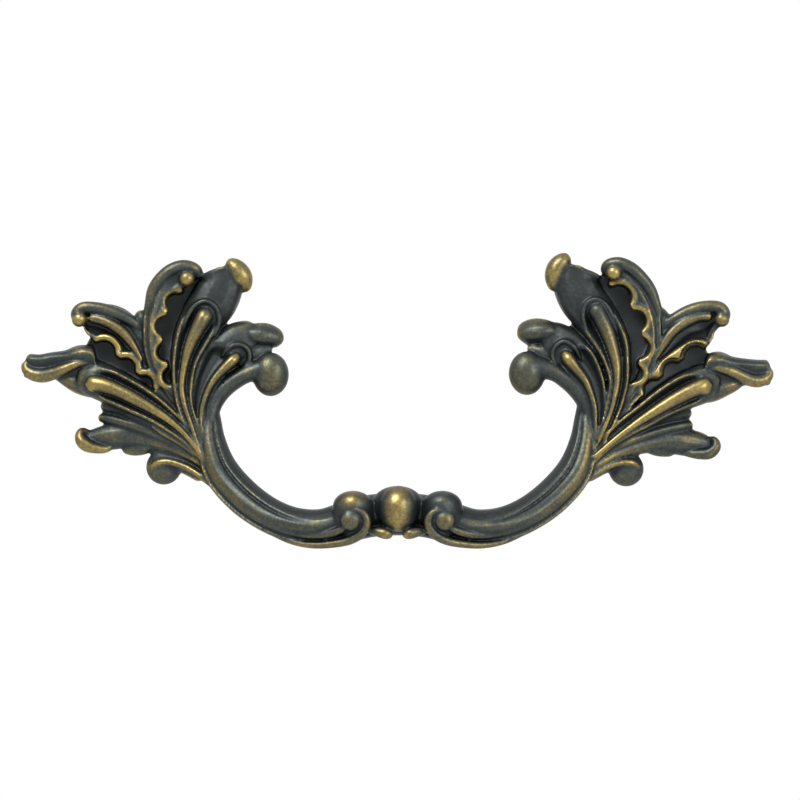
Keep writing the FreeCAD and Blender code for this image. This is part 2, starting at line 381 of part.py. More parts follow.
def knob_solid(x, up, radius, front, profile, sides):
    """A button facing away from the drawer, with a stem that ends inside the casting."""
    points = [(share * radius, front - drop * radius) for share, drop in profile]
    points.append((radius * 0.95, front - 1.6 * radius))
    return turned(points, V(x, 0, up), V(0, -1, 0), sides)


def roll_solid(x, up, radius, front, half_long, profile):
    """A round form with an upright axis."""
    points = [(share * radius, along * half_long) for share, along in profile]
    return turned(points, V(x, radius - front, up), V(0, 0, 1), 12)


def grip_solid(sheet):
    """The C-shaped grip, fluted in front and rounded behind, running from fan to fan."""
    wide = stretch(sheet, "screw_spacing")
    drop = stretch(sheet, "grip_drop")
    thick = size(sheet, "grip_thick")
    half_run = [(x * wide, up * drop, half, grip_height(sheet, front)) for x, up, half, front in GRIP]
    path = half_run[:-1] + [(-x, up, half, front) for x, up, half, front in reversed(half_run)]

    def corners_of(_, half, front):
        return ([(across, front + rise * half, 0) for across, rise in GRIP_FRONT]
                + [(across, front + share * thick, 0) for across, share in GRIP_BACK])

    rings = rings_along(path, corners_of)
    return skin(rings, [flat_face(rings[0]), flat_face(rings[-1])])


def add_shape(doc, name, shape):
    """A document object round a shape that no ready-made object can describe."""
    feature = doc.addObject("Part::Feature", name)
    feature.Shape = shape
    return feature


def grip_height(sheet, front):
    """A drawn height on the grip, moved with the size that holds the middle of the grip."""
    root = DRAWN["leaf_front"]
    share = (front - root) / (DRAWN["grip_front"] - root)
    return size(sheet, "leaf_front") + share * (size(sheet, "grip_front") - size(sheet, "leaf_front"))


def scallop_circles(teeth, leaf_side):
    """Circles through neighbouring teeth, as (x, z, radius), bulging to one side."""
    circles = []
    for (ax, az), (bx, bz) in zip(teeth, teeth[1:]):
        chord = math.hypot(bx - ax, bz - az)
        depth = BULGE * chord
        radius = (chord * chord / 4 + depth * depth) / (2 * depth)
        away = leaf_side * (radius - depth) / chord
        circles.append(((ax + bx) / 2 + (bz - az) * away, (az + bz) / 2 - (bx - ax) * away, radius))
    return circles


def fan_groups(doc, sheet, side, leaves, teeth, knobs):
    """The raised work of one fan in joined groups. Side is -1 for the left fan and 1 for the right one."""
    label = "left_" if side < 0 else "right_"
    post = size(sheet, "screw_spacing") / 2
    out_by, up_by, front_by = (stretch(sheet, name) for name in ("fan_out", "fan_up", "leaf_front"))
    floor_by = stretch(sheet, "floor_front")

    def place(out, up):
        return side * (post + out * out_by), up * up_by

    pieces = {}
    for order, (name, stations) in enumerate(leaves.items()):
        profile, thick = KINDS[name]
        rise_by = floor_by if profile is FLAT else front_by
        spots = [place(out, up) + (half, front * rise_by) for out, up, half, front in stations]
        sections = [profile] * len(spots)
        if profile is FLUTED:
            sections[-CLOSING:] = [CLOSED] * CLOSING
        if side > 0:
            sections = [[(-across, rise) for across, rise in reversed(section)] for section in sections]
        solid = leaf_solid(sections, spots, -1 - 0.15 * order, thick)
        if name in teeth:
            leaf_side = side if name == "crown_leaf" else -side
            for x, z, radius in scallop_circles([place(out, up) for out, up in teeth[name]], leaf_side):
                solid = solid.cut(Part.makeCylinder(radius, 30, V(x, 8, z), V(0, -1, 0)))
        pieces[name] = add_shape(doc, label + name, solid)
    for name, (out, up, radius, front) in knobs.items():
        x, z = place(out, up)
        pieces[name] = add_shape(doc, label + name, knob_solid(x, z, radius, front * front_by, BUTTON, 10))
    return [fused(doc, label + group, [pieces[name] for name in names]) for group, names in GROUPS.items()]


def grip_pieces(doc, sheet):
    """The grip with its bead and collar, and the scroll with its roll on either side of them."""
    drop = stretch(sheet, "grip_drop")
    pieces = [add_shape(doc, "grip_bar", grip_solid(sheet))]
    for side, label in ((-1, "left_"), (1, "right_")):
        x, up, radius, front = VOLUTE_PLACE
        volute = knob_solid(side * x, up * drop, radius, grip_height(sheet, front), VOLUTE, 12)
        pieces.append(add_shape(doc, label + "volute", volute))
        x, up, radius, front = BARREL_PLACE
        barrel = roll_solid(side * x, up * drop, radius, grip_height(sheet, front), BARREL_LONG, BARREL)
        pieces.append(add_shape(doc, label + "barrel", barrel))
    x, up, radius, front = COLLAR_PLACE
    collar = roll_solid(x, up * drop, radius, grip_height(sheet, front), COLLAR_LONG, BEAD)
    pieces.append(add_shape(doc, "collar", collar))
    half_wide, half_long = size(sheet, "bead_width") / 2, size(sheet, "bead_length") / 2
    bead = roll_solid(0, BEAD_UP * drop, half_wide, size(sheet, "grip_front"), half_long, BEAD)
    pieces.append(add_shape(doc, "bead", bead))
    return pieces


def back_cutter(doc, sheet, side):
    """Everything behind the hollow back of one fan, turned round the axis of its boss."""
    deep, gap = size(sheet, "hollow_deep"), size(sheet, "rim_gap")
    points = [(0, gap + BACK[0][1] * (deep - gap))]
    points += [(radius, gap + share * (deep - gap)) for radius, share in BACK]
    points += [(BACK[-1][0], -12), (0, -12)]
    hole = side * size(sheet, "screw_spacing") / 2
    corners = [V(hole + radius, -height, 0) for radius, height in points]
    outline = Part.Face(Part.makePolygon(corners + corners[:1]))
    label = "left_" if side < 0 else "right_"
    return add_shape(doc, label + "back_cutter", outline.revolve(V(hole, 0, 0), V(0, -1, 0), 360))


def add_round(doc, name, side, diameter, start, length):
    """A cylinder on one screw axis, tied to the sheet. It runs from `start` away from the drawer."""
    rod = doc.addObject("Part::Cylinder", name)
    rod.Placement = FreeCAD.Placement(V(0, 0, 0), FreeCAD.Rotation(V(1, 0, 0), 90))
    rod.setExpression("Radius", "sizes.%s / 2" % diameter)
    rod.setExpression("Height", length)
    rod.setExpression("Placement.Base.x", "sizes.screw_spacing * %s" % (side * 0.5))
    rod.setExpression("Placement.Base.y", start)
    return rod


def fused(doc, name, pieces):
    """One body from overlapping pieces."""
    body = doc.addObject("Part::MultiFuse", name)
    body.Shapes = pieces
    return body


def cut(doc, name, base, tool):
    """The base less the tool."""
    body = doc.addObject("Part::Cut", name)
    body.Base = base
    body.Tool = tool
    return body


def build(doc):
    """The whole casting, and a dictionary of what is exported."""
    sheet = make_sheet(doc)
    left = fan_groups(doc, sheet, -1, LEFT_LEAVES, LEFT_TEETH, LEFT_KNOBS)
    right = fan_groups(doc, sheet, 1, RIGHT_LEAVES, RIGHT_TEETH, RIGHT_KNOBS)
    groups = [fused(doc, "left_fan", left), fused(doc, "right_fan", right),
              fused(doc, "grip", grip_pieces(doc, sheet))]
    raised = fused(doc, "raised_work", groups)
    cutters = fused(doc, "back_cutters", [back_cutter(doc, sheet, side) for side in (-1, 1)])
    hollowed = cut(doc, "hollowed", raised, cutters)
    bosses = [add_round(doc, name, side, "boss_dia", "0", "sizes.hollow_deep + 1.5")
              for name, side in (("left_boss", -1), ("right_boss", 1))]
    solid = fused(doc, "with_bosses", [hollowed] + bosses)
    bores = [add_round(doc, name, side, "bore_dia", "1", "sizes.bore_deep + 1")
             for name, side in (("left_bore", -1), ("right_bore", 1))]
    pull = cut(doc, "pull_casting", solid, fused(doc, "bores", bores))
    return {"pull_casting": pull}


def check(doc, nodes):
    """Stops on any object that failed, and on any empty or broken solid."""
    for item in doc.Objects:
        if {"Invalid", "Error"} & set(item.State):
            raise RuntimeError("%s did not recompute" % item.Name)
    for name, item in nodes.items():
        if item.Shape.isNull() or not item.Shape.isValid():
            raise RuntimeError("%s is not a sound shape" % name)
        if len(item.Shape.Solids) != 1:
            raise RuntimeError("%s came out as %d solids" % (name, len(item.Shape.Solids)))


def main():
    """Builds, checks and exports the pull."""
    doc = FreeCAD.newDocument("bail_pull")
    nodes = build(doc)
    doc.recompute()
    check(doc, nodes)
    os.makedirs("parts", exist_ok=True)
    for name, item in nodes.items():
        item.Shape.exportStep("parts/%s.step" % name)


main()
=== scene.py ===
import math

import bmesh
import bpy
import numpy as np
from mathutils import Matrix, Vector, kdtree


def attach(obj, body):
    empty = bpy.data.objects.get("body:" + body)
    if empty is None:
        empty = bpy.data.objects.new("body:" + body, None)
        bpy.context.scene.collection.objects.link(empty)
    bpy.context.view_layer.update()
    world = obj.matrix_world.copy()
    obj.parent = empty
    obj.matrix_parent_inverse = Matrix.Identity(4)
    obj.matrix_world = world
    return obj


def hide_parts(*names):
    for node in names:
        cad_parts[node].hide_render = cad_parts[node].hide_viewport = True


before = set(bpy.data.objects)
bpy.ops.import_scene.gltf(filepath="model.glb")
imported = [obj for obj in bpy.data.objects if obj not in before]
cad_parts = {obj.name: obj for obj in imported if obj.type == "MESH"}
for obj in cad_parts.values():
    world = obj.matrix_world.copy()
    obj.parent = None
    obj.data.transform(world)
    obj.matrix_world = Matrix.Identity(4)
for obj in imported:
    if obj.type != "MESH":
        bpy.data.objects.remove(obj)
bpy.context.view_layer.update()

# The cast pull, carved once more: every leaf, rib and roll is a closed shell, a voxel remesh joins the
# shells into one skin, and how far that skin stands proud says where the brass shows through; which way
# it faces adds more brass, partly wear on front faces and partly painted highlight.
# Sizes are in millimetres up to mesh_object() and where the wear and painted highlight are worked out,
# otherwise in metres.
MM = 0.001
POST = 38.1                 # half the screw spacing
HOLLOW, RIM = 4.4, 0.3      # back of a fan above the drawer face, at its middle and at its rim
BACK_RADII = (0.0, 8.0, 13.5, 15.5, 20.0, 26.0, 34.0)       # from the axis of the boss
BACK_SHARES = (1.0, 1.0, 0.0, 0.0, 0.7, 0.95, 1.0)          # of the hollow's height, at those radii
SKIN = 0.05                 # least thickness of a shell
POINTED = 0.02              # half width where a piece comes to a point
DENSE = 12                  # trial points to each sample of a spline
LEAST_STEP = 1e-6           # between two knots of a spline
TINY = 1e-12                # keeps a direction of no length from dividing by zero
VOXEL = 0.22
SOFTENING, SOFTENING_ROUNDS = 0.5, 3
TRIANGLES = 190000

# Samples along a piece and across it.
PLAIN_GRAIN = (64, 29)
SCALLOPED_GRAIN = (160, 61)
SCALLOP_RIM_GRAIN = (28, 15)
GRIP_GRAIN = (280, 81)

# ---------------------------------------------------------------- profiles
# Height across a leaf, both in half widths, crest at 0. On the left fan +1 is the left-hand edge as
# one looks along the leaf from its root; the right fan is its mirror image.


def polyline(*points):
    """Profile through given corners; the remesh rounds them."""
    xs, ys = zip(*points)
    return lambda t: np.interp(t, xs, ys)


FLUTED = polyline((-1, -.85), (-.96, -.3), (-.88, -.05), (-.78, 0), (-.66, -.12), (-.4, -.5), (0, -.62),
                  (.4, -.5), (.66, -.12), (.78, 0), (.88, -.05), (.96, -.3), (1, -.85))
DOMED = polyline((-1, -.75), (-.94, -.4), (-.75, -.16), (-.4, -.02), (0, 0), (.4, -.02), (.75, -.16),
                 (.94, -.4), (1, -.75))
SIDE = polyline((-1, -1.1), (-.85, -.5), (-.5, -.12), (-.1, 0), (.3, -.1), (.7, -.45), (1, -1.1))
BROAD = polyline((-1, -.8), (-.85, -.35), (-.45, -.06), (0, 0), (.45, -.1), (.85, -.4), (1, -.8))
CROWN = polyline((-1, -.05), (-.7, -.05), (-.45, -.2), (-.15, -.12), (.1, -.02), (.3, -.25), (.55, -.5),
                 (.85, -.35), (1, -.9))
SHOULDER = polyline((-1, -.7), (-.88, -.3), (-.6, -.2), (-.35, -.3), (-.1, -.5), (.3, -.5), (.6, -.25),
                    (.8, -.03), (1, 0))
TIP = polyline((-1, -.8), (-.88, -.22), (-.6, 0), (-.2, -.1), (.3, -.36), (.8, -.5), (1, -.9))
FLAT = polyline((-1, 0), (1, 0))


def round_top(t):
    """Half of a circle."""
    return np.sqrt(np.maximum(1 - t * t, 0)) - 1


# ---------------------------------------------------------------- splines and shells
def through(stations, samples):
    """Smooth run through every station, evenly sampled by length in the plane of the drawer."""
    rows = np.array(stations, float)
    chords = np.hypot(*(rows[1:, :2] - rows[:-1, :2]).T) ** 0.5     # centripetal knots
    knots = np.concatenate([[0], np.cumsum(np.maximum(chords, LEAST_STEP))])
    slopes = np.gradient(rows, knots, axis=0)
    u = np.linspace(0, knots[-1], DENSE * samples)
    k = np.clip(np.searchsorted(knots, u, side="right") - 1, 0, len(rows) - 2)
    width = (knots[k + 1] - knots[k])[:, None]
    s = (u - knots[k])[:, None] / width
    dense = ((2 * s ** 3 - 3 * s ** 2 + 1) * rows[k] + (s ** 3 - 2 * s ** 2 + s) * width * slopes[k]
             + (3 * s ** 2 - 2 * s ** 3) * rows[k + 1] + (s ** 3 - s ** 2) * width * slopes[k + 1])
    run = np.concatenate([[0], np.cumsum(np.hypot(*np.diff(dense[:, :2], axis=0).T))])
    even = np.linspace(0, run[-1], samples)
    return np.stack([np.interp(even, run, column) for column in dense.T], axis=1), even


def sideways(x, z, half, t):
    """Points at the shares t of the half width, to the left of the run where t is above 0."""
    ahead = np.stack([np.gradient(x), np.gradient(z)], axis=1)
    ahead /= np.linalg.norm(ahead, axis=1, keepdims=True) + TINY
    half = half[:, None]
    return x[:, None] - ahead[:, 1:2] * half * t, z[:, None] + ahead[:, 0:1] * half * t


def smoothstep(low, high, value):
    """0 up to low, 1 from high on, eased between; high may be the smaller of the two."""
    share = np.clip((value - low) / (high - low), 0, 1)
    return share * share * (3 - 2 * share)


def rounding(share):
    """Square of the width near a piece's end, which turns a square end into a half circle."""
    left = 1 - np.clip(share, 0, 1)
    return 1 - left * left


def mirrored(side, rows):
    """Rows that begin with a place across, on one side of the pull, from those on the right."""
    return [(side * x, *rest) for x, *rest in rows]


def back_height(x, z):
    """Hollow back of the nearer fan, turned round the axis of its boss."""
    r = np.hypot(np.abs(x) - POST, z)
    return RIM + (HOLLOW - RIM) * np.interp(r, BACK_RADII, BACK_SHARES)


class Clay:
    """Closed shells that the remesh later joins, each with how much brass shows on it."""

    def __init__(self):
        self.verts, self.faces, self.brass = [], [], []

    def add(self, rings, brass):
        """A closed shell from rings of equal length, as (x, height, z), with brass by ring or by point."""
        start = len(self.verts)
        count, length = rings.shape[0], rings.shape[1]
        self.verts += [(x, -h, z) for x, h, z in rings.reshape(-1, 3)]
        brass = np.broadcast_to(np.reshape(brass, (count, -1)), (count, length))
        self.brass += list(brass.ravel())
        for i in range(count - 1):
            for j in range(length):
                k = (j + 1) % length
                a, b = start + i * length, start + (i + 1) * length
                self.faces.append((a + j, a + k, b + k, b + j))
        for i in (0, count - 1):
            middle = rings[i].mean(axis=0)
            self.verts.append((middle[0], -middle[1], middle[2]))
            self.brass.append(brass[i].mean())
            hub = len(self.verts) - 1
            a = start + i * length
            for j in range(length):
                k = (j + 1) % length
                self.faces.append((a + j, hub, a + k) if i == 0 else (a + k, hub, a + j))


clay = Clay()
WALL_SHARES = (0.66, 0.33)      # rows of a strip's side wall, as shares of its height
CLOSING = 0.07                  # share of the length over which a flute closes
CLOSING_BOW = 0.05              # and how much earlier it does so at the edges


def strip(stations, profile, brass, thick=None, side=0, closes=None, bites=(), grain=PLAIN_GRAIN, blunt=1.0):
    """A leaf or rib along stations of (out, up, half width, front).

    Side -1 or 1 measures out from that fan's hole, side 0 from the middle of the pull. Brass is spaced
    evenly along the piece. A flute closes at the share closes of the length. Bites are circles cut down
    to the back. Without a thickness the piece goes down to the back too.
    """
    samples, across = grain
    line, run = through(stations, samples)
    x, z, half, front = line.T
    starting = rounding(run / (blunt * half[0]))
    ending = rounding((run[-1] - run) / (blunt * half[-1]))
    half = np.maximum(half * np.sqrt(starting) * np.sqrt(ending), POINTED)
    if side:
        x = side * (POST + x)
    t = np.linspace(-1, 1, across)
    turn = -1 if side > 0 else 1
    rise = np.tile(profile(t * turn), (samples, 1))
    if closes is not None:
        share = smoothstep(closes, closes + CLOSING, (run / run[-1])[:, None] + CLOSING_BOW * t * t)
        rise = rise * (1 - share) + DOMED(t * turn) * share
    px, pz = sideways(x, z, half, t)
    ph = front[:, None] + rise * half[:, None]
    low = back_height(px, pz)
    if thick is not None:
        low = np.maximum(low, (front - thick)[:, None])
    for cx, cz, radius in bites:
        ph = np.where(np.hypot(px - cx, pz - cz) < radius, 0, ph)
    ph = np.maximum(ph, low + SKIN)

    def wall(edge, share):
        return np.stack([px[:, edge], ph[:, edge] * share + low[:, edge] * (1 - share), pz[:, edge]], axis=1)

    face = np.stack([px, ph, pz], axis=2)
    back = np.stack([px, low, pz], axis=2)[:, ::-1]
    down = np.stack([wall(-1, share) for share in WALL_SHARES], axis=1)
    up = np.stack([wall(0, share) for share in WALL_SHARES[::-1]], axis=1)
    along = np.interp(np.linspace(0, 1, samples), np.linspace(0, 1, len(brass)), brass)
    clay.add(np.concatenate([face, down, back, up], axis=1), along)


BALL_RINGS, BALL_SPOKES = 17, 48
BALL_POLE = 1e-3            # radius of the first and last ring, as a share of the ball's
SQUARE_WAIST = 0.35         # how much narrower a fully squared ball is at its ends
# Brass falling off towards a ball's sides leaves worn brass in the middle and paints shade on the sides.
SIDE_SHADE_POWER = 1.5            # how late brass fades towards a ball's sides


def ball(x, z, radius, front, brass, tall=1.0, long=1.0, square=1.0, wear_and_side_shade=0.0):
    """A knob whose front stands at the given height.

    Square below 1 flattens its top and bottom ends, and fade takes brass away towards its sides,
    leaving worn brass in the middle and painted shade on the sides.
    """
    spokes = np.linspace(0, 2 * math.pi, BALL_SPOKES, endpoint=False)
    up = np.sign(np.sin(spokes)) * np.abs(np.sin(spokes)) ** square
    out = np.cos(spokes) * (1 - (1 - square) * SQUARE_WAIST * np.abs(np.sin(spokes)))
    rings = []
    for a in np.linspace(0, math.pi, BALL_RINGS):
        size = max(math.sin(a), BALL_POLE)
        height = np.full(BALL_SPOKES, front - radius * tall * (1 - math.cos(a)))
        rings.append(np.stack([x + radius * size * out, height, z + long * radius * size ** square * up], axis=1))
    rings = np.array(rings)
    # Brass taken from the sides: painted shade there, worn brass left in the middle.
    clay.add(rings, brass - wear_and_side_shade * (np.abs(rings[:, :, 0] - x) / radius) ** SIDE_SHADE_POWER)


# ---------------------------------------------------------------- leaves
# Rim along each scallop: half width, brass, thickness and stations to an arc.
SCALLOP_RIM_HALF, SCALLOP_RIM_BRASS, SCALLOP_RIM_THICK, SCALLOP_RIM_POINTS = 0.62, (.9, .9), 3.6, 9
# Scalloped leaves: (how far a scallop bulges, in chords, and to which side of its teeth).
SCALLOPED = {"crown_leaf": (0.47, 1), "shoulder_leaf": (0.38, -1)}


def scallops(teeth, bulge, leaf_side):
    """Circles through neighbouring teeth, and the arcs between them, bulging to one side."""
    circles, arcs = [], []
    for (ax, az, ah), (bx, bz, bh) in zip(teeth, teeth[1:]):
        chord = math.hypot(bx - ax, bz - az)
        sagitta = bulge * chord
        radius = (chord * chord / 4 + sagitta * sagitta) / (2 * sagitta)
        nx, nz = -(bz - az) / chord * leaf_side, (bx - ax) / chord * leaf_side
        cx = (ax + bx) / 2 - nx * (radius - sagitta)
        cz = (az + bz) / 2 - nz * (radius - sagitta)
        circles.append((cx, cz, radius))
        first = math.atan2(az - cz, ax - cx)
        swing = math.remainder(math.atan2(bz - cz, bx - cx) - first, 2 * math.pi)
        arc = []
        for share in np.linspace(0, 1, SCALLOP_RIM_POINTS):
            angle = first + swing * share
            arc.append((cx + radius * math.cos(angle), cz + radius * math.sin(angle), SCALLOP_RIM_HALF,
                        ah + (bh - ah) * share))
        arcs.append(arc)
    return circles, arcs


# Each piece of a fan: (profile, brass along it, thickness or None for down to the back).
KINDS = {
    "recess_crown": (FLAT, (-.7, -.9), None),
    "recess_shoulder": (FLAT, (-.7, -.9), None),
    "recess_inner": (FLAT, (-.5, -.8), None),
    "recess_curl": (FLAT, (-.5, -.8), None),
    "recess_side": (FLAT, (-.5, -.8), None),
    "scroll_stem": (DOMED, (.6, .3, .0), None),
    "upper_blade": (FLUTED, (1.3, .9, .2, -.1, -.9), None),
    "inner_blade": (FLUTED, (1.2, .7, .1, .0, -.2), None),
    "outer_blade": (FLUTED, (1.4, 1.0, .4, .1, .1), None),
    "outer_tip": (TIP, (-.1, -.2, -.1), None),
    "under_fold": (SIDE, (.3, .4, .2), None),
    "upper_side": (SIDE, (1.3, .2, -.2), None),
    "lower_side": (SIDE, (1.3, .2, -.2), None),
    "lower_leaf": (BROAD, (1.2, .6, .3, -.1), None),
    "lower_lobe": (SIDE, (.0, .0), 3.0),
    "crown_leaf": (CROWN, (.9, .3, .3, .1), None),
    "crown_lobe": (SIDE, (.1, .1), None),
    "shoulder_leaf": (SHOULDER, (1.0, .3, -.1, -.9), None),
    "inner_lobe": (SIDE, (-.2, -.3), None),
    "inner_web": (SIDE, (.1, .3, .0), None),
    "upper_edge": (round_top, (-1.2, -1.2, -.8), None),
    "shoulder_edge": (round_top, (-1.2, -1.2, -.8), None),
    "upper_loop": (round_top, (-.3, -.5, -.5, -.3), 2.0),
    "inner_loop": (round_top, (-.3, -.5, -.5, -.3), 2.0),
    "shoulder_band": (round_top, (.6, .8, .7), 2.6),
    "upper_rib": (round_top, (.6, .6, .7, .6, .3), 3.2),
    "inner_rib": (round_top, (.4, .3, .4, .8), 3.0),
    "outer_rib": (round_top, (.8, .8, .8, .9, 1.), 3.2),
    "small_rib": (round_top, (.7, .6), 2.0),
    "tip_ridge": (round_top, (.3, .5, .7, .6), 2.6),
    "upper_roll": (round_top, (.5, .7, .6), 3.6),
    "crown_roll": (round_top, (.1, .1, .0, -.1), 3.4),
    "shoulder_ridge": (round_top, (.6, .5, .5), 2.4),
    "shoulder_roll": (round_top, (.0, .0, .2), 3.3),
    "lower_roll": (round_top, (.4, .6, .4), 3.4),
    "inner_curl": (round_top, (.0, .0, .1, .1), 4.6),
    "scroll_ridge": (round_top, (.5, .6, .6), 2.4),
    "root_line": (round_top, (.2, .6, .8, .8), 3.0),
}
# Pieces of the right fan that wore otherwise than those of the left one.
RIGHT_BRASS = {"lower_roll": (-.1, .0, -.2), "upper_rib": (.5, .5, .6, .4, -.3), "shoulder_roll": (.2, .2, .1),
               "crown_roll": (.1, .0, -.1, -.2)}
# How long the rounding of a piece's end is, in its half widths, where it isn't a half circle.
BLUNT = {"upper_blade": .3, "outer_tip": .35, "shoulder_leaf": .6, "lower_leaf": .9, "crown_leaf": .8,
         "recess_crown": .5, "recess_shoulder": .5}
# Leaves whose flutes close before the tip: share of the length where that happens.
CLOSES = {"upper_blade": .74, "inner_blade": .73, "outer_blade": .86}

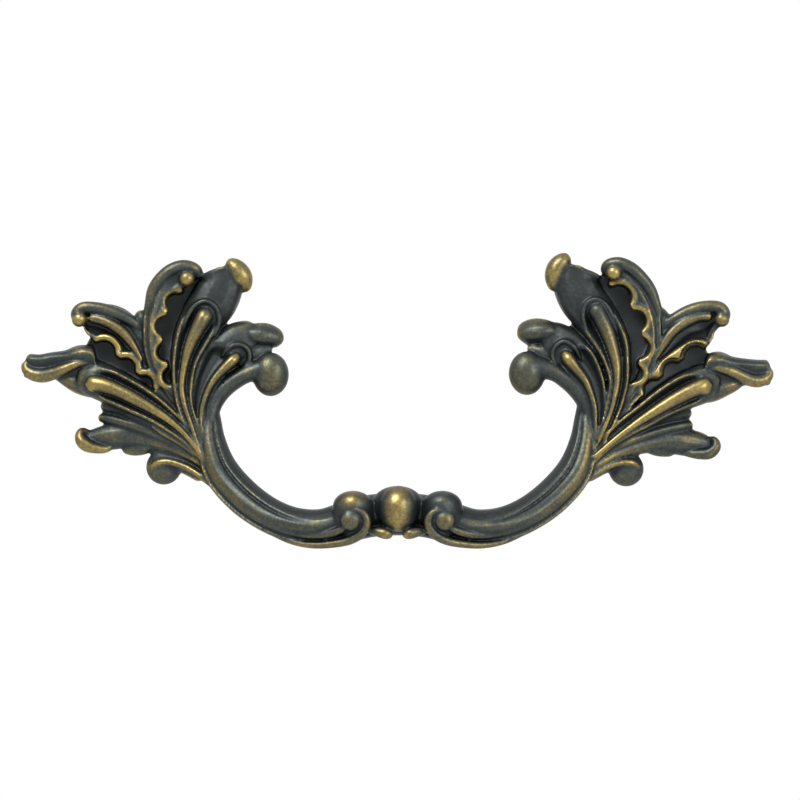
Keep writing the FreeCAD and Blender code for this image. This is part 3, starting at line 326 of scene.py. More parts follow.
# Stations of the pieces, from the root to the tip.
LEFT = {
    "upper_blade": [(-7.9, -16.5, 0.7, 13.6), (-6.4, -13.8, 0.8, 13.2), (-4.6, -10.4, 1.0, 12.9),
        (-3.1, -6.5, 1.3, 12.7), (-2.0, -2.9, 1.5, 12.6), (-1.8, 0.7, 1.9, 12.5), (-2.2, 4.3, 2.4, 12.3),
        (-3.4, 8.0, 3.2, 11.9), (-5.2, 11.6, 3.6, 11.4), (-7.1, 14.4, 3.9, 11.2), (-8.3, 17.3, 3.6, 10.8),
        (-7.8, 20.0, 3.0, 10.2)],
    "upper_rib": [(-5.0, -11.7, 0.3, 13.2), (-4.0, -9.2, 0.4, 13.2), (-3.1, -6.5, 0.4, 13.1),
        (-2.1, -3.5, 0.5, 13.0), (-1.6, -0.5, 0.5, 12.9), (-2.0, 3.1, 0.6, 12.9), (-2.9, 6.5, 0.9, 12.8),
        (-4.3, 9.6, 1.2, 12.7), (-5.6, 12.0, 1.4, 12.4), (-6.1, 13.1, 0.9, 11.4)],
    "upper_roll": [(-8.9, 20.3, 0.7, 9.8), (-9.8, 20.2, 1.4, 10.6), (-10.9, 19.4, 1.8, 11.0),
        (-11.8, 18.0, 1.8, 11.0), (-12.1, 16.8, 1.3, 10.4), (-11.8, 15.7, 0.6, 9.4)],
    "inner_blade": [(-7.3, -15.3, 0.5, 13.2), (-5.8, -12.0, 0.7, 12.9), (-4.9, -8.9, 0.8, 12.6),
        (-4.6, -5.9, 1.1, 12.4), (-4.6, -2.9, 1.4, 12.2), (-5.3, 0.1, 1.9, 11.9), (-6.7, 3.1, 2.5, 11.5),
        (-8.8, 5.9, 3.2, 11.0), (-11.5, 7.4, 3.4, 10.4), (-13.9, 8.0, 2.7, 9.6), (-14.8, 8.0, 1.5, 8.6)],
    "inner_lobe": [(-11.5, 8.6, 0.9, 9.6), (-13.6, 8.6, 1.8, 10.2), (-15.7, 8.4, 2.1, 10.2),
        (-17.5, 8.0, 1.7, 9.6), (-18.8, 7.7, 1.1, 8.8)],
    "inner_rib": [(-5.3, -9.5, 0.3, 12.8), (-4.9, -6.8, 0.3, 12.8), (-5.0, -4.1, 0.4, 12.7),
        (-5.8, -1.4, 0.5, 12.6), (-7.1, 1.0, 0.6, 12.5), (-8.9, 3.0, 0.8, 12.3), (-10.5, 4.5, 0.9, 12.1),
        (-11.2, 5.3, 0.6, 11.2)],
    "inner_curl": [(-5.9, -8.3, 1.0, 12.0), (-6.4, -5.3, 1.3, 11.9), (-7.2, -2.7, 1.5, 11.6),
        (-8.6, -0.7, 1.6, 11.4), (-10.6, 0.8, 1.5, 11.2), (-12.7, 1.9, 1.5, 11.2), (-14.8, 2.5, 1.9, 11.2),
        (-16.3, 2.5, 2.4, 11.4), (-17.5, 1.5, 2.1, 11.2)],
    "outer_blade": [(-8.8, -18.6, 0.5, 13.8), (-7.3, -15.3, 0.7, 13.4), (-5.2, -12.0, 1.0, 13.0),
        (-2.8, -8.9, 1.4, 12.8), (0.3, -6.2, 1.9, 12.6), (3.3, -4.0, 2.4, 12.2), (6.3, -2.3, 2.8, 11.7),
        (9.3, -0.8, 3.0, 11.2), (12.3, 0.6, 3.1, 10.8), (14.5, 1.6, 2.9, 10.2), (15.8, 2.5, 2.1, 9.2)],
    "outer_rib": [(-5.9, -13.3, 0.4, 13.4), (-4.0, -10.6, 0.4, 13.4), (-1.8, -8.0, 0.5, 13.3),
        (0.6, -5.9, 0.6, 13.2), (3.3, -4.1, 0.8, 13.0), (6.3, -2.4, 1.0, 12.8), (9.3, -0.9, 1.1, 12.5),
        (12.3, 0.1, 1.3, 12.2), (13.9, 0.2, 1.3, 11.8), (14.8, 0.1, 0.8, 10.8)],
    "outer_tip": [(13.0, 3.7, 2.7, 10.2), (15.4, 3.7, 3.1, 10.0), (17.8, 3.4, 2.6, 9.4),
        (20.2, 3.4, 2.2, 8.8), (22.6, 3.1, 2.1, 8.4), (24.2, 3.2, 2.1, 8.0), (25.3, 3.4, 2.0, 7.5)],
    "tip_ridge": [(14.0, 3.9, 0.3, 9.6), (16.4, 3.5, 0.7, 10.0), (18.4, 2.7, 0.9, 9.9), (20.2, 2.0, 1.1, 9.5),
        (22.0, 1.6, 1.2, 9.1), (23.8, 1.9, 1.1, 8.7), (24.8, 2.8, 0.9, 8.2), (25.0, 4.0, 0.6, 7.6)],
    "under_fold": [(19.9, 1.7, 0.6, 7.6), (18.1, 1.1, 1.3, 8.4), (16.3, 0.5, 1.8, 8.8),
        (14.5, -0.2, 1.8, 9.2), (12.3, -1.2, 1.3, 9.6)],
    "upper_side": [(-2.8, -10.4, 0.5, 12.2), (-0.3, -8.6, 0.7, 11.8), (2.7, -7.0, 0.8, 11.2),
        (5.7, -5.5, 1.0, 10.4), (8.7, -4.1, 1.1, 9.6), (10.8, -3.7, 1.0, 8.8), (12.3, -3.6, 0.7, 7.8)],
    "lower_side": [(-3.4, -11.7, 0.5, 12.0), (-0.6, -10.0, 0.6, 11.6), (2.4, -8.5, 0.8, 10.9),
        (5.4, -7.3, 0.9, 10.2), (8.4, -6.4, 1.0, 9.4), (10.8, -5.8, 1.0, 8.6), (12.7, -5.4, 0.6, 7.6)],
    "small_rib": [(-4.0, -12.0, 0.3, 12.6), (-1.5, -10.1, 0.3, 12.3), (1.5, -8.2, 0.4, 11.9),
        (3.6, -6.8, 0.3, 11.2)],
    "lower_leaf": [(-6.4, -14.7, 0.5, 12.8), (-4.0, -12.6, 0.7, 12.2), (-1.2, -11.1, 1.0, 11.4),
        (1.8, -9.8, 1.4, 10.6), (4.8, -9.1, 1.8, 9.8), (7.8, -8.6, 2.1, 9.2), (10.5, -8.8, 2.2, 8.8),
        (13.0, -9.2, 1.9, 8.2), (15.1, -9.3, 1.3, 7.6)],
    "lower_lobe": [(3.3, -10.3, 0.9, 9.8), (5.4, -10.8, 1.1, 9.4), (7.2, -10.9, 1.0, 8.8),
        (8.6, -10.8, 0.6, 8.0)],
    "lower_roll": [(14.2, -7.9, 0.4, 7.6), (15.4, -8.0, 0.8, 8.6), (15.6, -9.1, 1.0, 9.2),
        (14.8, -10.1, 1.1, 9.4), (13.1, -10.7, 0.9, 9.2), (11.4, -10.8, 0.7, 8.8), (10.2, -10.4, 0.4, 8.2)],
    "crown_leaf": [(-2.4, -5.9, 0.5, 11.6), (-1.2, -3.5, 0.7, 11.6), (0.6, -0.5, 1.1, 11.6),
        (2.4, 2.5, 1.3, 11.5), (3.4, 5.6, 1.4, 11.4), (3.6, 8.6, 1.5, 11.2), (3.3, 11.6, 1.7, 11.0),
        (2.4, 14.6, 2.0, 10.7), (0.9, 17.2, 2.2, 10.4), (-1.2, 18.7, 2.1, 10.0), (-3.4, 18.8, 1.7, 9.4),
        (-4.3, 18.4, 0.9, 8.6)],
    "crown_roll": [(5.3, 9.5, 0.4, 9.4), (4.3, 11.9, 0.7, 10.2), (3.9, 14.0, 0.8, 10.6),
        (3.3, 16.1, 1.0, 10.7), (1.9, 18.1, 1.1, 10.8), (0.0, 19.6, 1.1, 10.8), (-2.1, 20.1, 1.1, 10.6),
        (-4.0, 19.4, 1.0, 10.2), (-4.6, 18.1, 0.6, 9.4)],
    "crown_lobe": [(4.2, 8.0, 0.5, 9.2), (4.9, 9.8, 1.0, 9.8), (5.4, 11.6, 1.1, 9.8), (5.5, 12.7, 0.5, 9.0)],
    "shoulder_leaf": [(-1.5, -5.3, 0.4, 11.4), (0.3, -2.9, 0.7, 11.3), (2.1, -0.6, 1.1, 11.2),
        (4.0, 2.1, 1.8, 11.0), (5.9, 5.3, 2.6, 10.8), (7.8, 8.0, 3.3, 10.4), (10.2, 9.9, 3.6, 10.0),
        (12.6, 10.7, 3.1, 9.6), (15.2, 11.0, 2.0, 9.0)],
    "shoulder_ridge": [(5.1, 4.1, 0.2, 10.9), (6.6, 6.6, 0.6, 11.1), (8.1, 8.6, 0.8, 11.0),
        (10.2, 10.2, 0.8, 10.7), (12.3, 11.1, 0.8, 10.3), (14.2, 11.4, 0.7, 9.8)],
    "shoulder_roll": [(4.6, 8.4, 0.3, 9.2), (6.3, 10.3, 0.8, 10.0), (8.4, 11.6, 1.0, 10.3),
        (10.8, 12.5, 1.1, 10.3), (13.3, 13.1, 1.0, 10.2), (15.4, 13.0, 1.0, 10.1), (16.2, 11.9, 1.1, 10.0),
        (15.8, 10.8, 0.8, 9.4)],
    "upper_edge": [(-5.0, 18.2, 0.4, 9.6), (-6.2, 18.8, 0.5, 10.1), (-7.6, 19.3, 0.5, 10.4),
        (-9.0, 19.8, 0.4, 10.4)],
    "upper_loop": [(-1.6, 8.6, 0.2, 11.0), (-2.7, 11.9, 0.4, 11.8), (-4.0, 13.6, 0.4, 11.9),
        (-5.6, 14.2, 0.4, 11.9), (-7.3, 13.2, 0.4, 11.8), (-7.9, 10.8, 0.4, 11.5), (-7.0, 8.2, 0.3, 11.3)],
    "inner_loop": [(-8.3, 4.7, 0.2, 10.2), (-9.4, 6.2, 0.4, 11.2), (-11.1, 6.9, 0.4, 11.1),
        (-12.8, 6.0, 0.4, 10.9), (-13.0, 4.2, 0.4, 10.6), (-11.8, 2.6, 0.3, 10.4)],
    "inner_web": [(-11.0, 3.6, 1.2, 9.4), (-13.2, 4.9, 1.6, 9.8), (-15.2, 5.8, 1.4, 9.6),
        (-16.8, 6.2, 0.8, 9.0)],
    "recess_crown": [(-0.6, -2.3, 0.9, 9.8), (0.6, 1.3, 1.8, 8.8), (0.9, 5.6, 2.7, 7.4), (0.3, 9.5, 3.0, 6.6),
        (-0.9, 13.1, 2.7, 6.4), (-2.4, 15.5, 2.1, 6.6), (-3.7, 17.2, 1.8, 7.0), (-4.3, 18.2, 1.2, 7.2)],
    "recess_shoulder": [(0.9, -2.0, 0.9, 9.8), (3.6, 0.7, 1.8, 8.6), (6.9, 3.1, 2.7, 7.2),
        (10.2, 5.3, 2.9, 6.6), (13.3, 6.8, 2.1, 6.4), (14.5, 7.2, 1.2, 6.4)],
    "recess_inner": [(-4.6, -1.1, 0.6, 10.4), (-5.2, 2.5, 1.1, 9.4), (-6.7, 5.9, 1.5, 8.4),
        (-8.5, 8.6, 1.5, 7.4), (-9.4, 10.1, 0.9, 7.0)],
    "recess_curl": [(-5.8, -3.0, 0.9, 10.6), (-7.4, 0.6, 1.2, 9.8), (-9.6, 2.4, 1.2, 9.0),
        (-12.0, 3.3, 1.0, 8.4), (-13.6, 3.8, 0.6, 8.0)],
    "recess_side": [(-1.4, -10.0, 0.7, 10.4), (2.6, -8.0, 0.8, 9.4), (6.6, -6.3, 0.8, 8.4),
        (8.2, -5.7, 0.6, 7.8)],
    "scroll_ridge": [(-10.0, -19.8, 0.5, 14.6), (-8.2, -18.1, 0.5, 14.0), (-5.8, -16.2, 0.5, 13.2),
        (-3.4, -14.5, 0.5, 12.4), (-1.2, -13.5, 0.6, 11.8), (0.9, -13.0, 0.6, 11.4), (2.7, -13.3, 0.6, 11.0),
        (3.7, -14.2, 0.4, 10.2)],
    "scroll_stem": [(-5.2, -15.9, 0.9, 12.2), (-2.8, -14.1, 1.3, 11.4), (-0.3, -12.6, 1.7, 10.8),
        (1.8, -12.0, 1.9, 10.2), (3.6, -12.3, 1.4, 9.4)],
    "root_line": [(-12.4, -21.0, 0.9, 15.4), (-10.3, -18.6, 1.1, 14.8), (-8.2, -15.9, 1.2, 14.2),
        (-6.1, -12.9, 0.9, 13.5), (-4.6, -10.4, 0.4, 12.5)],
}
RIGHT = {
    "upper_blade": [(-8.0, -16.5, 0.7, 13.6), (-6.3, -13.9, 0.8, 13.2), (-4.7, -11.1, 1.0, 12.9),
        (-3.2, -8.0, 1.1, 12.7), (-2.0, -5.0, 1.4, 12.6), (-1.2, -2.3, 1.6, 12.5), (-0.7, 0.7, 1.8, 12.4),
        (-1.0, 3.7, 2.3, 12.2), (-1.8, 6.8, 3.0, 11.9), (-3.4, 9.8, 3.4, 11.5), (-5.3, 12.5, 3.7, 11.4),
        (-7.1, 14.9, 3.8, 11.2), (-8.0, 17.5, 3.7, 10.8), (-7.4, 20.3, 3.1, 10.2)],
    "upper_rib": [(-4.2, -9.8, 0.3, 13.2), (-3.2, -7.4, 0.4, 13.2), (-2.1, -4.7, 0.4, 13.1),
        (-1.4, -2.0, 0.5, 13.0), (-1.0, 0.7, 0.6, 12.9), (-1.1, 3.4, 0.8, 12.9), (-1.7, 6.2, 1.0, 12.8),
        (-2.7, 9.2, 1.2, 12.7), (-3.9, 11.7, 1.3, 12.6), (-4.7, 13.3, 1.3, 12.2), (-5.0, 14.0, 0.7, 11.2)],
    "upper_roll": [(-8.7, 21.3, 0.7, 9.8), (-9.6, 21.1, 1.4, 10.6), (-10.9, 20.1, 1.7, 11.0),
        (-11.6, 18.6, 1.6, 11.0), (-11.6, 17.1, 1.2, 10.4), (-11.2, 15.9, 0.6, 9.4)],
    "inner_blade": [(-7.0, -15.0, 0.5, 13.2), (-5.6, -12.3, 0.7, 12.9), (-4.7, -9.2, 0.8, 12.6),
        (-4.2, -6.2, 1.1, 12.4), (-4.2, -3.2, 1.4, 12.2), (-4.7, -0.2, 1.9, 11.9), (-6.0, 2.5, 2.5, 11.5),
        (-8.0, 5.0, 3.2, 11.0), (-10.6, 6.8, 3.5, 10.4), (-13.1, 8.0, 2.8, 9.6), (-14.2, 8.1, 1.5, 8.6)],
    "inner_lobe": [(-10.6, 8.7, 0.9, 9.6), (-12.7, 9.2, 1.8, 10.2), (-14.8, 9.1, 2.2, 10.2),
        (-16.6, 8.7, 1.9, 9.6), (-17.8, 8.3, 1.1, 8.8)],
    "inner_rib": [(-4.8, -9.2, 0.3, 12.8), (-4.6, -6.5, 0.3, 12.8), (-4.7, -4.1, 0.4, 12.7),
        (-5.3, -1.7, 0.5, 12.6), (-6.3, 0.7, 0.6, 12.5), (-7.9, 2.8, 0.8, 12.3), (-9.4, 4.7, 1.0, 12.1),
        (-10.1, 5.7, 0.6, 11.2)],
    "inner_curl": [(-4.5, -8.3, 1.0, 12.0), (-5.5, -5.3, 1.3, 11.9), (-6.3, -2.9, 1.5, 11.6),
        (-7.6, -0.9, 1.6, 11.4), (-9.4, 0.7, 1.5, 11.2), (-11.5, 2.1, 1.5, 11.2), (-13.7, 2.8, 1.9, 11.2),
        (-15.3, 2.8, 2.4, 11.4), (-16.5, 1.7, 2.1, 11.2)],
    "outer_blade": [(-9.4, -18.6, 0.5, 13.8), (-7.6, -15.3, 0.7, 13.4), (-5.1, -12.3, 1.0, 13.0),
        (-2.4, -9.5, 1.4, 12.8), (0.6, -7.1, 1.8, 12.6), (3.6, -5.2, 2.2, 12.2), (6.6, -3.2, 2.6, 11.7),
        (9.7, -1.5, 3.0, 11.2), (12.7, -0.2, 3.2, 10.8), (14.8, 0.6, 3.1, 10.2), (16.5, 1.0, 2.5, 9.2)],
    "outer_rib": [(-5.0, -12.3, 0.4, 13.4), (-3.0, -10.6, 0.4, 13.4), (-0.6, -8.6, 0.5, 13.3),
        (1.8, -6.8, 0.6, 13.2), (4.2, -5.2, 0.8, 13.0), (6.9, -3.5, 1.0, 12.8), (9.7, -1.9, 1.2, 12.5),
        (12.4, -0.6, 1.3, 12.2), (14.2, -0.1, 1.4, 11.8), (15.2, 0.0, 0.8, 10.8)],
    "outer_tip": [(13.9, 2.5, 2.7, 10.2), (16.1, 2.4, 3.3, 10.0), (18.4, 2.2, 2.7, 9.4),
        (20.8, 2.2, 2.3, 8.8), (22.9, 2.1, 2.2, 8.4), (24.2, 2.1, 2.2, 8.0), (25.3, 2.2, 2.1, 7.5)],
    "tip_ridge": [(14.0, 3.0, 0.3, 9.6), (16.4, 2.8, 0.7, 10.0), (18.4, 2.3, 0.9, 9.9), (20.2, 1.5, 1.0, 9.5),
        (21.9, 0.8, 1.1, 9.1), (23.5, 0.8, 1.1, 8.7), (24.7, 1.6, 0.9, 8.2), (24.9, 2.9, 0.6, 7.6)],
    "under_fold": [(20.5, 0.6, 0.6, 7.6), (18.9, 0.2, 1.3, 8.4), (16.9, -0.3, 1.8, 8.8),
        (15.1, -1.1, 1.8, 9.2), (13.0, -2.1, 1.3, 9.6)],
    "upper_side": [(-3.0, -10.8, 0.5, 12.2), (-0.3, -9.1, 0.7, 11.8), (2.4, -7.4, 0.8, 11.2),
        (5.1, -6.1, 1.1, 10.4), (7.8, -5.2, 1.3, 9.6), (10.2, -4.8, 1.3, 8.8), (11.8, -4.7, 0.9, 7.8)],
    "lower_side": [(-3.3, -11.7, 0.5, 12.0), (-0.6, -10.3, 0.6, 11.6), (2.4, -9.1, 0.8, 10.9),
        (5.1, -8.2, 1.0, 10.2), (7.8, -7.5, 1.1, 9.4), (10.3, -7.0, 1.1, 8.6), (12.0, -6.7, 0.8, 7.6)],
    "small_rib": [(-3.6, -11.5, 0.3, 12.6), (-1.2, -9.8, 0.3, 12.3), (1.5, -8.2, 0.4, 11.9),
        (4.1, -7.0, 0.3, 11.2)],
    "lower_leaf": [(-5.7, -14.4, 0.5, 12.8), (-3.3, -12.9, 0.7, 12.2), (-0.6, -11.5, 1.0, 11.4),
        (2.4, -10.4, 1.4, 10.6), (5.4, -9.7, 1.8, 9.8), (8.4, -9.5, 2.2, 9.2), (11.2, -9.8, 2.3, 8.8),
        (13.6, -10.2, 2.0, 8.2), (15.2, -10.4, 1.3, 7.6)],
    "lower_lobe": [(3.6, -10.4, 0.8, 9.8), (5.7, -10.9, 1.1, 9.4), (7.5, -11.2, 1.0, 8.8),
        (8.8, -11.5, 0.6, 8.0)],
    "lower_roll": [(14.5, -9.1, 0.4, 7.6), (15.5, -9.4, 0.7, 8.6), (15.8, -10.4, 0.9, 9.2),
        (14.8, -11.5, 1.0, 9.4), (13.1, -11.7, 0.9, 9.2), (11.5, -11.6, 0.7, 8.8), (10.0, -11.4, 0.4, 8.2)],
    "crown_leaf": [(-1.2, -5.9, 0.5, 11.6), (0.0, -3.5, 0.7, 11.6), (1.8, -0.5, 1.0, 11.6),
        (3.6, 2.2, 1.3, 11.5), (4.8, 5.3, 1.4, 11.4), (5.1, 8.3, 1.6, 11.2), (4.7, 11.3, 1.8, 11.0),
        (3.6, 14.3, 2.1, 10.7), (1.8, 17.0, 2.2, 10.4), (-0.3, 18.8, 2.1, 10.0), (-2.1, 19.4, 1.6, 9.4),
        (-3.0, 19.1, 0.9, 8.6)],
    "crown_roll": [(6.6, 9.2, 0.4, 9.4), (6.2, 11.6, 0.7, 10.2), (5.6, 14.0, 0.8, 10.6),
        (4.7, 16.1, 1.0, 10.7), (3.2, 18.1, 1.1, 10.8), (1.2, 19.9, 1.1, 10.8), (-0.9, 20.6, 1.1, 10.6),
        (-2.6, 20.1, 1.0, 10.2), (-3.1, 18.7, 0.6, 9.4)],
    "crown_lobe": [(6.0, 8.0, 0.5, 9.2), (6.6, 9.8, 1.0, 9.8), (6.8, 11.6, 1.1, 9.8), (6.3, 13.1, 0.5, 9.0)],
    "shoulder_leaf": [(-0.6, -5.3, 0.4, 11.4), (1.2, -2.9, 0.7, 11.3), (3.0, -0.3, 1.2, 11.2),
        (5.0, 2.7, 1.9, 11.0), (6.8, 5.6, 2.6, 10.8), (8.8, 8.0, 3.3, 10.4), (11.2, 9.8, 3.4, 10.0),
        (13.5, 10.5, 3.5, 9.6), (14.9, 11.1, 2.1, 9.4), (16.3, 11.4, 1.2, 9.0)],
    "shoulder_ridge": [(5.4, 4.1, 0.2, 10.9), (6.9, 6.9, 0.7, 11.1), (8.4, 9.0, 0.8, 11.0),
        (10.6, 10.7, 0.9, 10.7), (13.0, 11.6, 0.8, 10.3), (15.1, 11.6, 0.7, 9.8)],
    "shoulder_roll": [(5.6, 8.2, 0.3, 9.2), (7.3, 10.2, 0.8, 10.0), (9.4, 11.6, 1.0, 10.3),
        (11.8, 12.7, 1.1, 10.3), (14.2, 13.3, 1.0, 10.2), (16.5, 13.0, 1.1, 10.1), (17.2, 11.9, 1.1, 10.0),
        (16.8, 10.8, 0.9, 9.4)],
    "upper_edge": [(-3.9, 18.2, 0.4, 9.6), (-5.3, 18.8, 0.5, 10.1), (-7.0, 19.4, 0.5, 10.4),
        (-8.9, 20.2, 0.4, 10.4)],
    "shoulder_edge": [(14.2, 6.7, 0.4, 9.4), (14.6, 7.9, 0.5, 9.5), (15.2, 9.2, 0.5, 9.5),
        (16.3, 10.5, 0.5, 9.6)],
    "upper_loop": [(-6.1, 9.4, 0.2, 11.0), (-6.7, 11.8, 0.4, 11.7), (-6.2, 13.7, 0.4, 11.8),
        (-4.6, 14.5, 0.4, 11.8), (-3.0, 13.7, 0.4, 11.7), (-1.8, 11.6, 0.4, 11.5), (-1.2, 8.8, 0.2, 11.0)],
    "inner_loop": [(-7.1, 4.3, 0.2, 10.2), (-8.2, 6.4, 0.4, 11.2), (-9.9, 7.4, 0.4, 11.1),
        (-11.5, 6.4, 0.4, 10.9), (-11.8, 4.6, 0.4, 10.6), (-10.8, 2.9, 0.3, 10.4)],
    "inner_web": [(-10.2, 3.7, 1.2, 9.4), (-12.4, 5.0, 1.6, 9.8), (-14.4, 5.9, 1.4, 9.6),
        (-16.1, 6.3, 0.8, 9.0)],
    "shoulder_band": [(4.3, 0.3, 0.4, 11.4), (7.0, 3.4, 0.8, 11.3), (9.4, 5.3, 1.0, 11.1),
        (11.9, 6.6, 1.0, 10.7), (14.3, 7.1, 0.8, 10.1)],
    "recess_crown": [(0.6, -2.3, 0.9, 9.8), (1.7, 1.3, 1.8, 8.8), (2.1, 5.6, 2.7, 7.4), (1.5, 9.5, 3.0, 6.6),
        (0.0, 13.1, 2.7, 6.4), (-1.8, 15.8, 2.1, 6.6), (-3.0, 17.3, 1.8, 7.0), (-4.0, 18.3, 1.2, 7.2)],
    "recess_shoulder": [(1.8, -2.0, 0.9, 9.8), (4.2, -0.2, 1.8, 8.6), (7.2, 1.9, 2.7, 7.2),
        (10.3, 4.0, 2.9, 6.6), (13.0, 5.6, 2.1, 6.4), (14.2, 6.2, 1.2, 6.4)],
    "recess_inner": [(-3.5, -1.1, 0.6, 10.4), (-4.2, 2.5, 1.1, 9.4), (-5.7, 5.9, 1.5, 8.4),
        (-7.6, 8.9, 1.5, 7.4), (-8.5, 10.4, 0.9, 7.0)],
    "recess_curl": [(-5.0, -3.0, 0.9, 10.6), (-6.6, 0.6, 1.2, 9.8), (-8.8, 2.4, 1.2, 9.0),
        (-11.2, 3.6, 1.0, 8.4), (-12.8, 4.4, 0.6, 8.0)],
    "recess_side": [(-1.4, -10.4, 0.7, 10.4), (2.4, -8.4, 0.9, 9.4), (5.6, -7.1, 1.0, 8.4),
        (10.2, -5.9, 0.8, 7.6)],
    "scroll_ridge": [(-10.6, -19.8, 0.5, 14.6), (-8.8, -18.3, 0.5, 14.0), (-6.7, -16.5, 0.5, 13.2),
        (-4.2, -14.7, 0.5, 12.4), (-2.1, -13.6, 0.6, 11.8), (0.0, -13.1, 0.6, 11.4), (1.8, -13.3, 0.6, 11.0),
        (2.9, -14.2, 0.4, 10.2)],
    "scroll_stem": [(-6.3, -15.9, 0.9, 12.2), (-3.9, -14.1, 1.3, 11.4), (-1.5, -12.6, 1.7, 10.8),
        (0.6, -12.1, 1.9, 10.2), (2.4, -12.4, 1.4, 9.4)],
    "root_line": [(-11.8, -20.7, 0.9, 15.4), (-10.0, -18.3, 1.1, 14.8), (-8.0, -15.6, 1.2, 14.2),
        (-6.2, -13.2, 1.0, 13.5), (-4.5, -11.1, 0.4, 12.5)],
}
# Teeth between the scallops: (out, up, front).
LEFT_TEETH = {
    "crown_leaf": [(-1.7, 15.8, 9.9), (0.9, 12.2, 10.7), (1.7, 7.7, 11.1), (0.7, 3.5, 11.4), (-0.1, -0.5, 11.5)],
    "shoulder_leaf": [(13.3, 7.5, 9.6), (9.2, 4.8, 10.5), (5.9, 1.9, 11.0), (2.9, -0.8, 11.2)],
}
RIGHT_TEETH = {
    "crown_leaf": [(-2.3, 16.9, 9.9), (1.4, 13.1, 10.7), (3.2, 8.7, 11.1), (2.6, 3.9, 11.4), (1.5, 0.1, 11.5)],
    "shoulder_leaf": [(14.3, 6.4, 9.6), (9.8, 4.2, 10.5), (6.4, 1.4, 11.0), (3.3, -2.0, 11.2)],
}
# Eyes of the crown and shoulder leaves, head of the inner curl, end of the scroll:
# (out, up, radius, front, brass, how tall, how long).
LEFT_BALLS = [(-2.4, 18.0, 1.4, 11.2, .8, 1.0, 1.0), (15.8, 11.1, 1.3, 10.8, .7, 1.0, 1.0),
              (-16.6, 1.8, 3.1, 11.8, .0, .8, 1.2), (1.5, -13.9, 3.0, 10.9, -.1, .8, 1.0)]
RIGHT_BALLS = [(-1.5, 19.0, 1.4, 11.2, .8, 1.0, 1.0), (16.8, 11.1, 1.3, 10.6, .4, 1.0, 1.0),
               (-16.2, 2.0, 3.1, 11.8, .0, .8, 1.2), (0.6, -14.2, 3.0, 10.9, -.1, .8, 1.0)]


def fan(side, leaves, teeth_of, balls):
    """All the carving of one fan, the left one for side -1."""
    bites = {}
    for name, teeth in teeth_of.items():
        bulge, leaf_side = SCALLOPED[name]
        placed = [(side * (POST + out), up, front) for out, up, front in teeth]
        bites[name], arcs = scallops(placed, bulge, side * leaf_side)
        for arc in arcs:
            strip(arc, round_top, SCALLOP_RIM_BRASS, SCALLOP_RIM_THICK, grain=SCALLOP_RIM_GRAIN)
    bites["shoulder_band"] = bites["shoulder_leaf"]
    for name, (profile, brass, thick) in KINDS.items():
        if name not in leaves:
            continue
        if side > 0:
            brass = RIGHT_BRASS.get(name, brass)
        cuts = bites.get(name, ())
        strip(leaves[name], profile, brass, thick, side, CLOSES.get(name), cuts,
              SCALLOPED_GRAIN if cuts else PLAIN_GRAIN, BLUNT.get(name, 1.0))
    for out, up, radius, front, brass, tall, long in balls:
        ball(side * (POST + out), up, radius, front, brass, tall, long)


fan(-1, LEFT, LEFT_TEETH, LEFT_BALLS)
fan(1, RIGHT, RIGHT_TEETH, RIGHT_BALLS)

# ---------------------------------------------------------------- grip
# Right half of the grip, from inside the fan to the middle: (across, up, half width, front).
GRIP = [(31.6, -2.2, 1.0, 10.2), (31.7, -5.6, 1.8, 12.0), (31.5, -9.4, 2.4, 13.4), (30.0, -14.3, 3.0, 15.0),
        (26.3, -18.7, 3.1, 17.2), (21.8, -21.9, 3.0, 19.3), (17.5, -23.6, 3.0, 21.0), (13.0, -24.1, 3.2, 22.2),
        (9.4, -23.4, 3.5, 22.4), (6.2, -22.4, 3.6, 21.8), (3.0, -21.9, 3.6, 21.2), (0.0, -21.7, 3.7, 21.0)]
GRIP_THICK = 6.8
GRIP_EDGE = 1.1             # how far the grip's edges lie behind its front, in half widths
GRIP_SPOKES = 26            # steps round the half circle of its back
GRIP_CHANGE = (14.0, 24.0)  # across, where one section turns into the other
GRIP_BRASS, GRIP_DARK = 0.65, -0.6
BRASS_ACROSS = (0.1, 0.4)   # where brass begins and is full, towards the outer edge, in half widths
BRASS_ALONG = (19.0, 30.0)  # and away from the middle
DARK_ACROSS = (-0.4, -0.9)  # where patina begins and is full, towards the inner edge
# Section seen along the grip from its outer edge to its inner one, near a fan and near the middle.
BY_FAN = polyline((-1, -1.05), (-.97, -.62), (-.92, -.42), (-.85, -.48), (-.78, -.6), (-.66, -.34),
                  (-.45, -.1), (-.2, 0), (.02, -.03), (.14, -.08), (.2, -.12), (.27, -.36), (.34, -.36),
                  (.42, -.2), (.52, -.24), (.75, -.5), (.92, -.8), (1, -1.1))
BY_MIDDLE = polyline((-1, -1.05), (-.96, -.68), (-.88, -.5), (-.8, -.56), (-.7, -.66), (-.6, -.44),
                     (-.52, -.32), (-.4, -.3), (-.2, -.1), (.1, 0), (.4, -.08), (.75, -.42), (.92, -.72),
                     (1, -1.1))


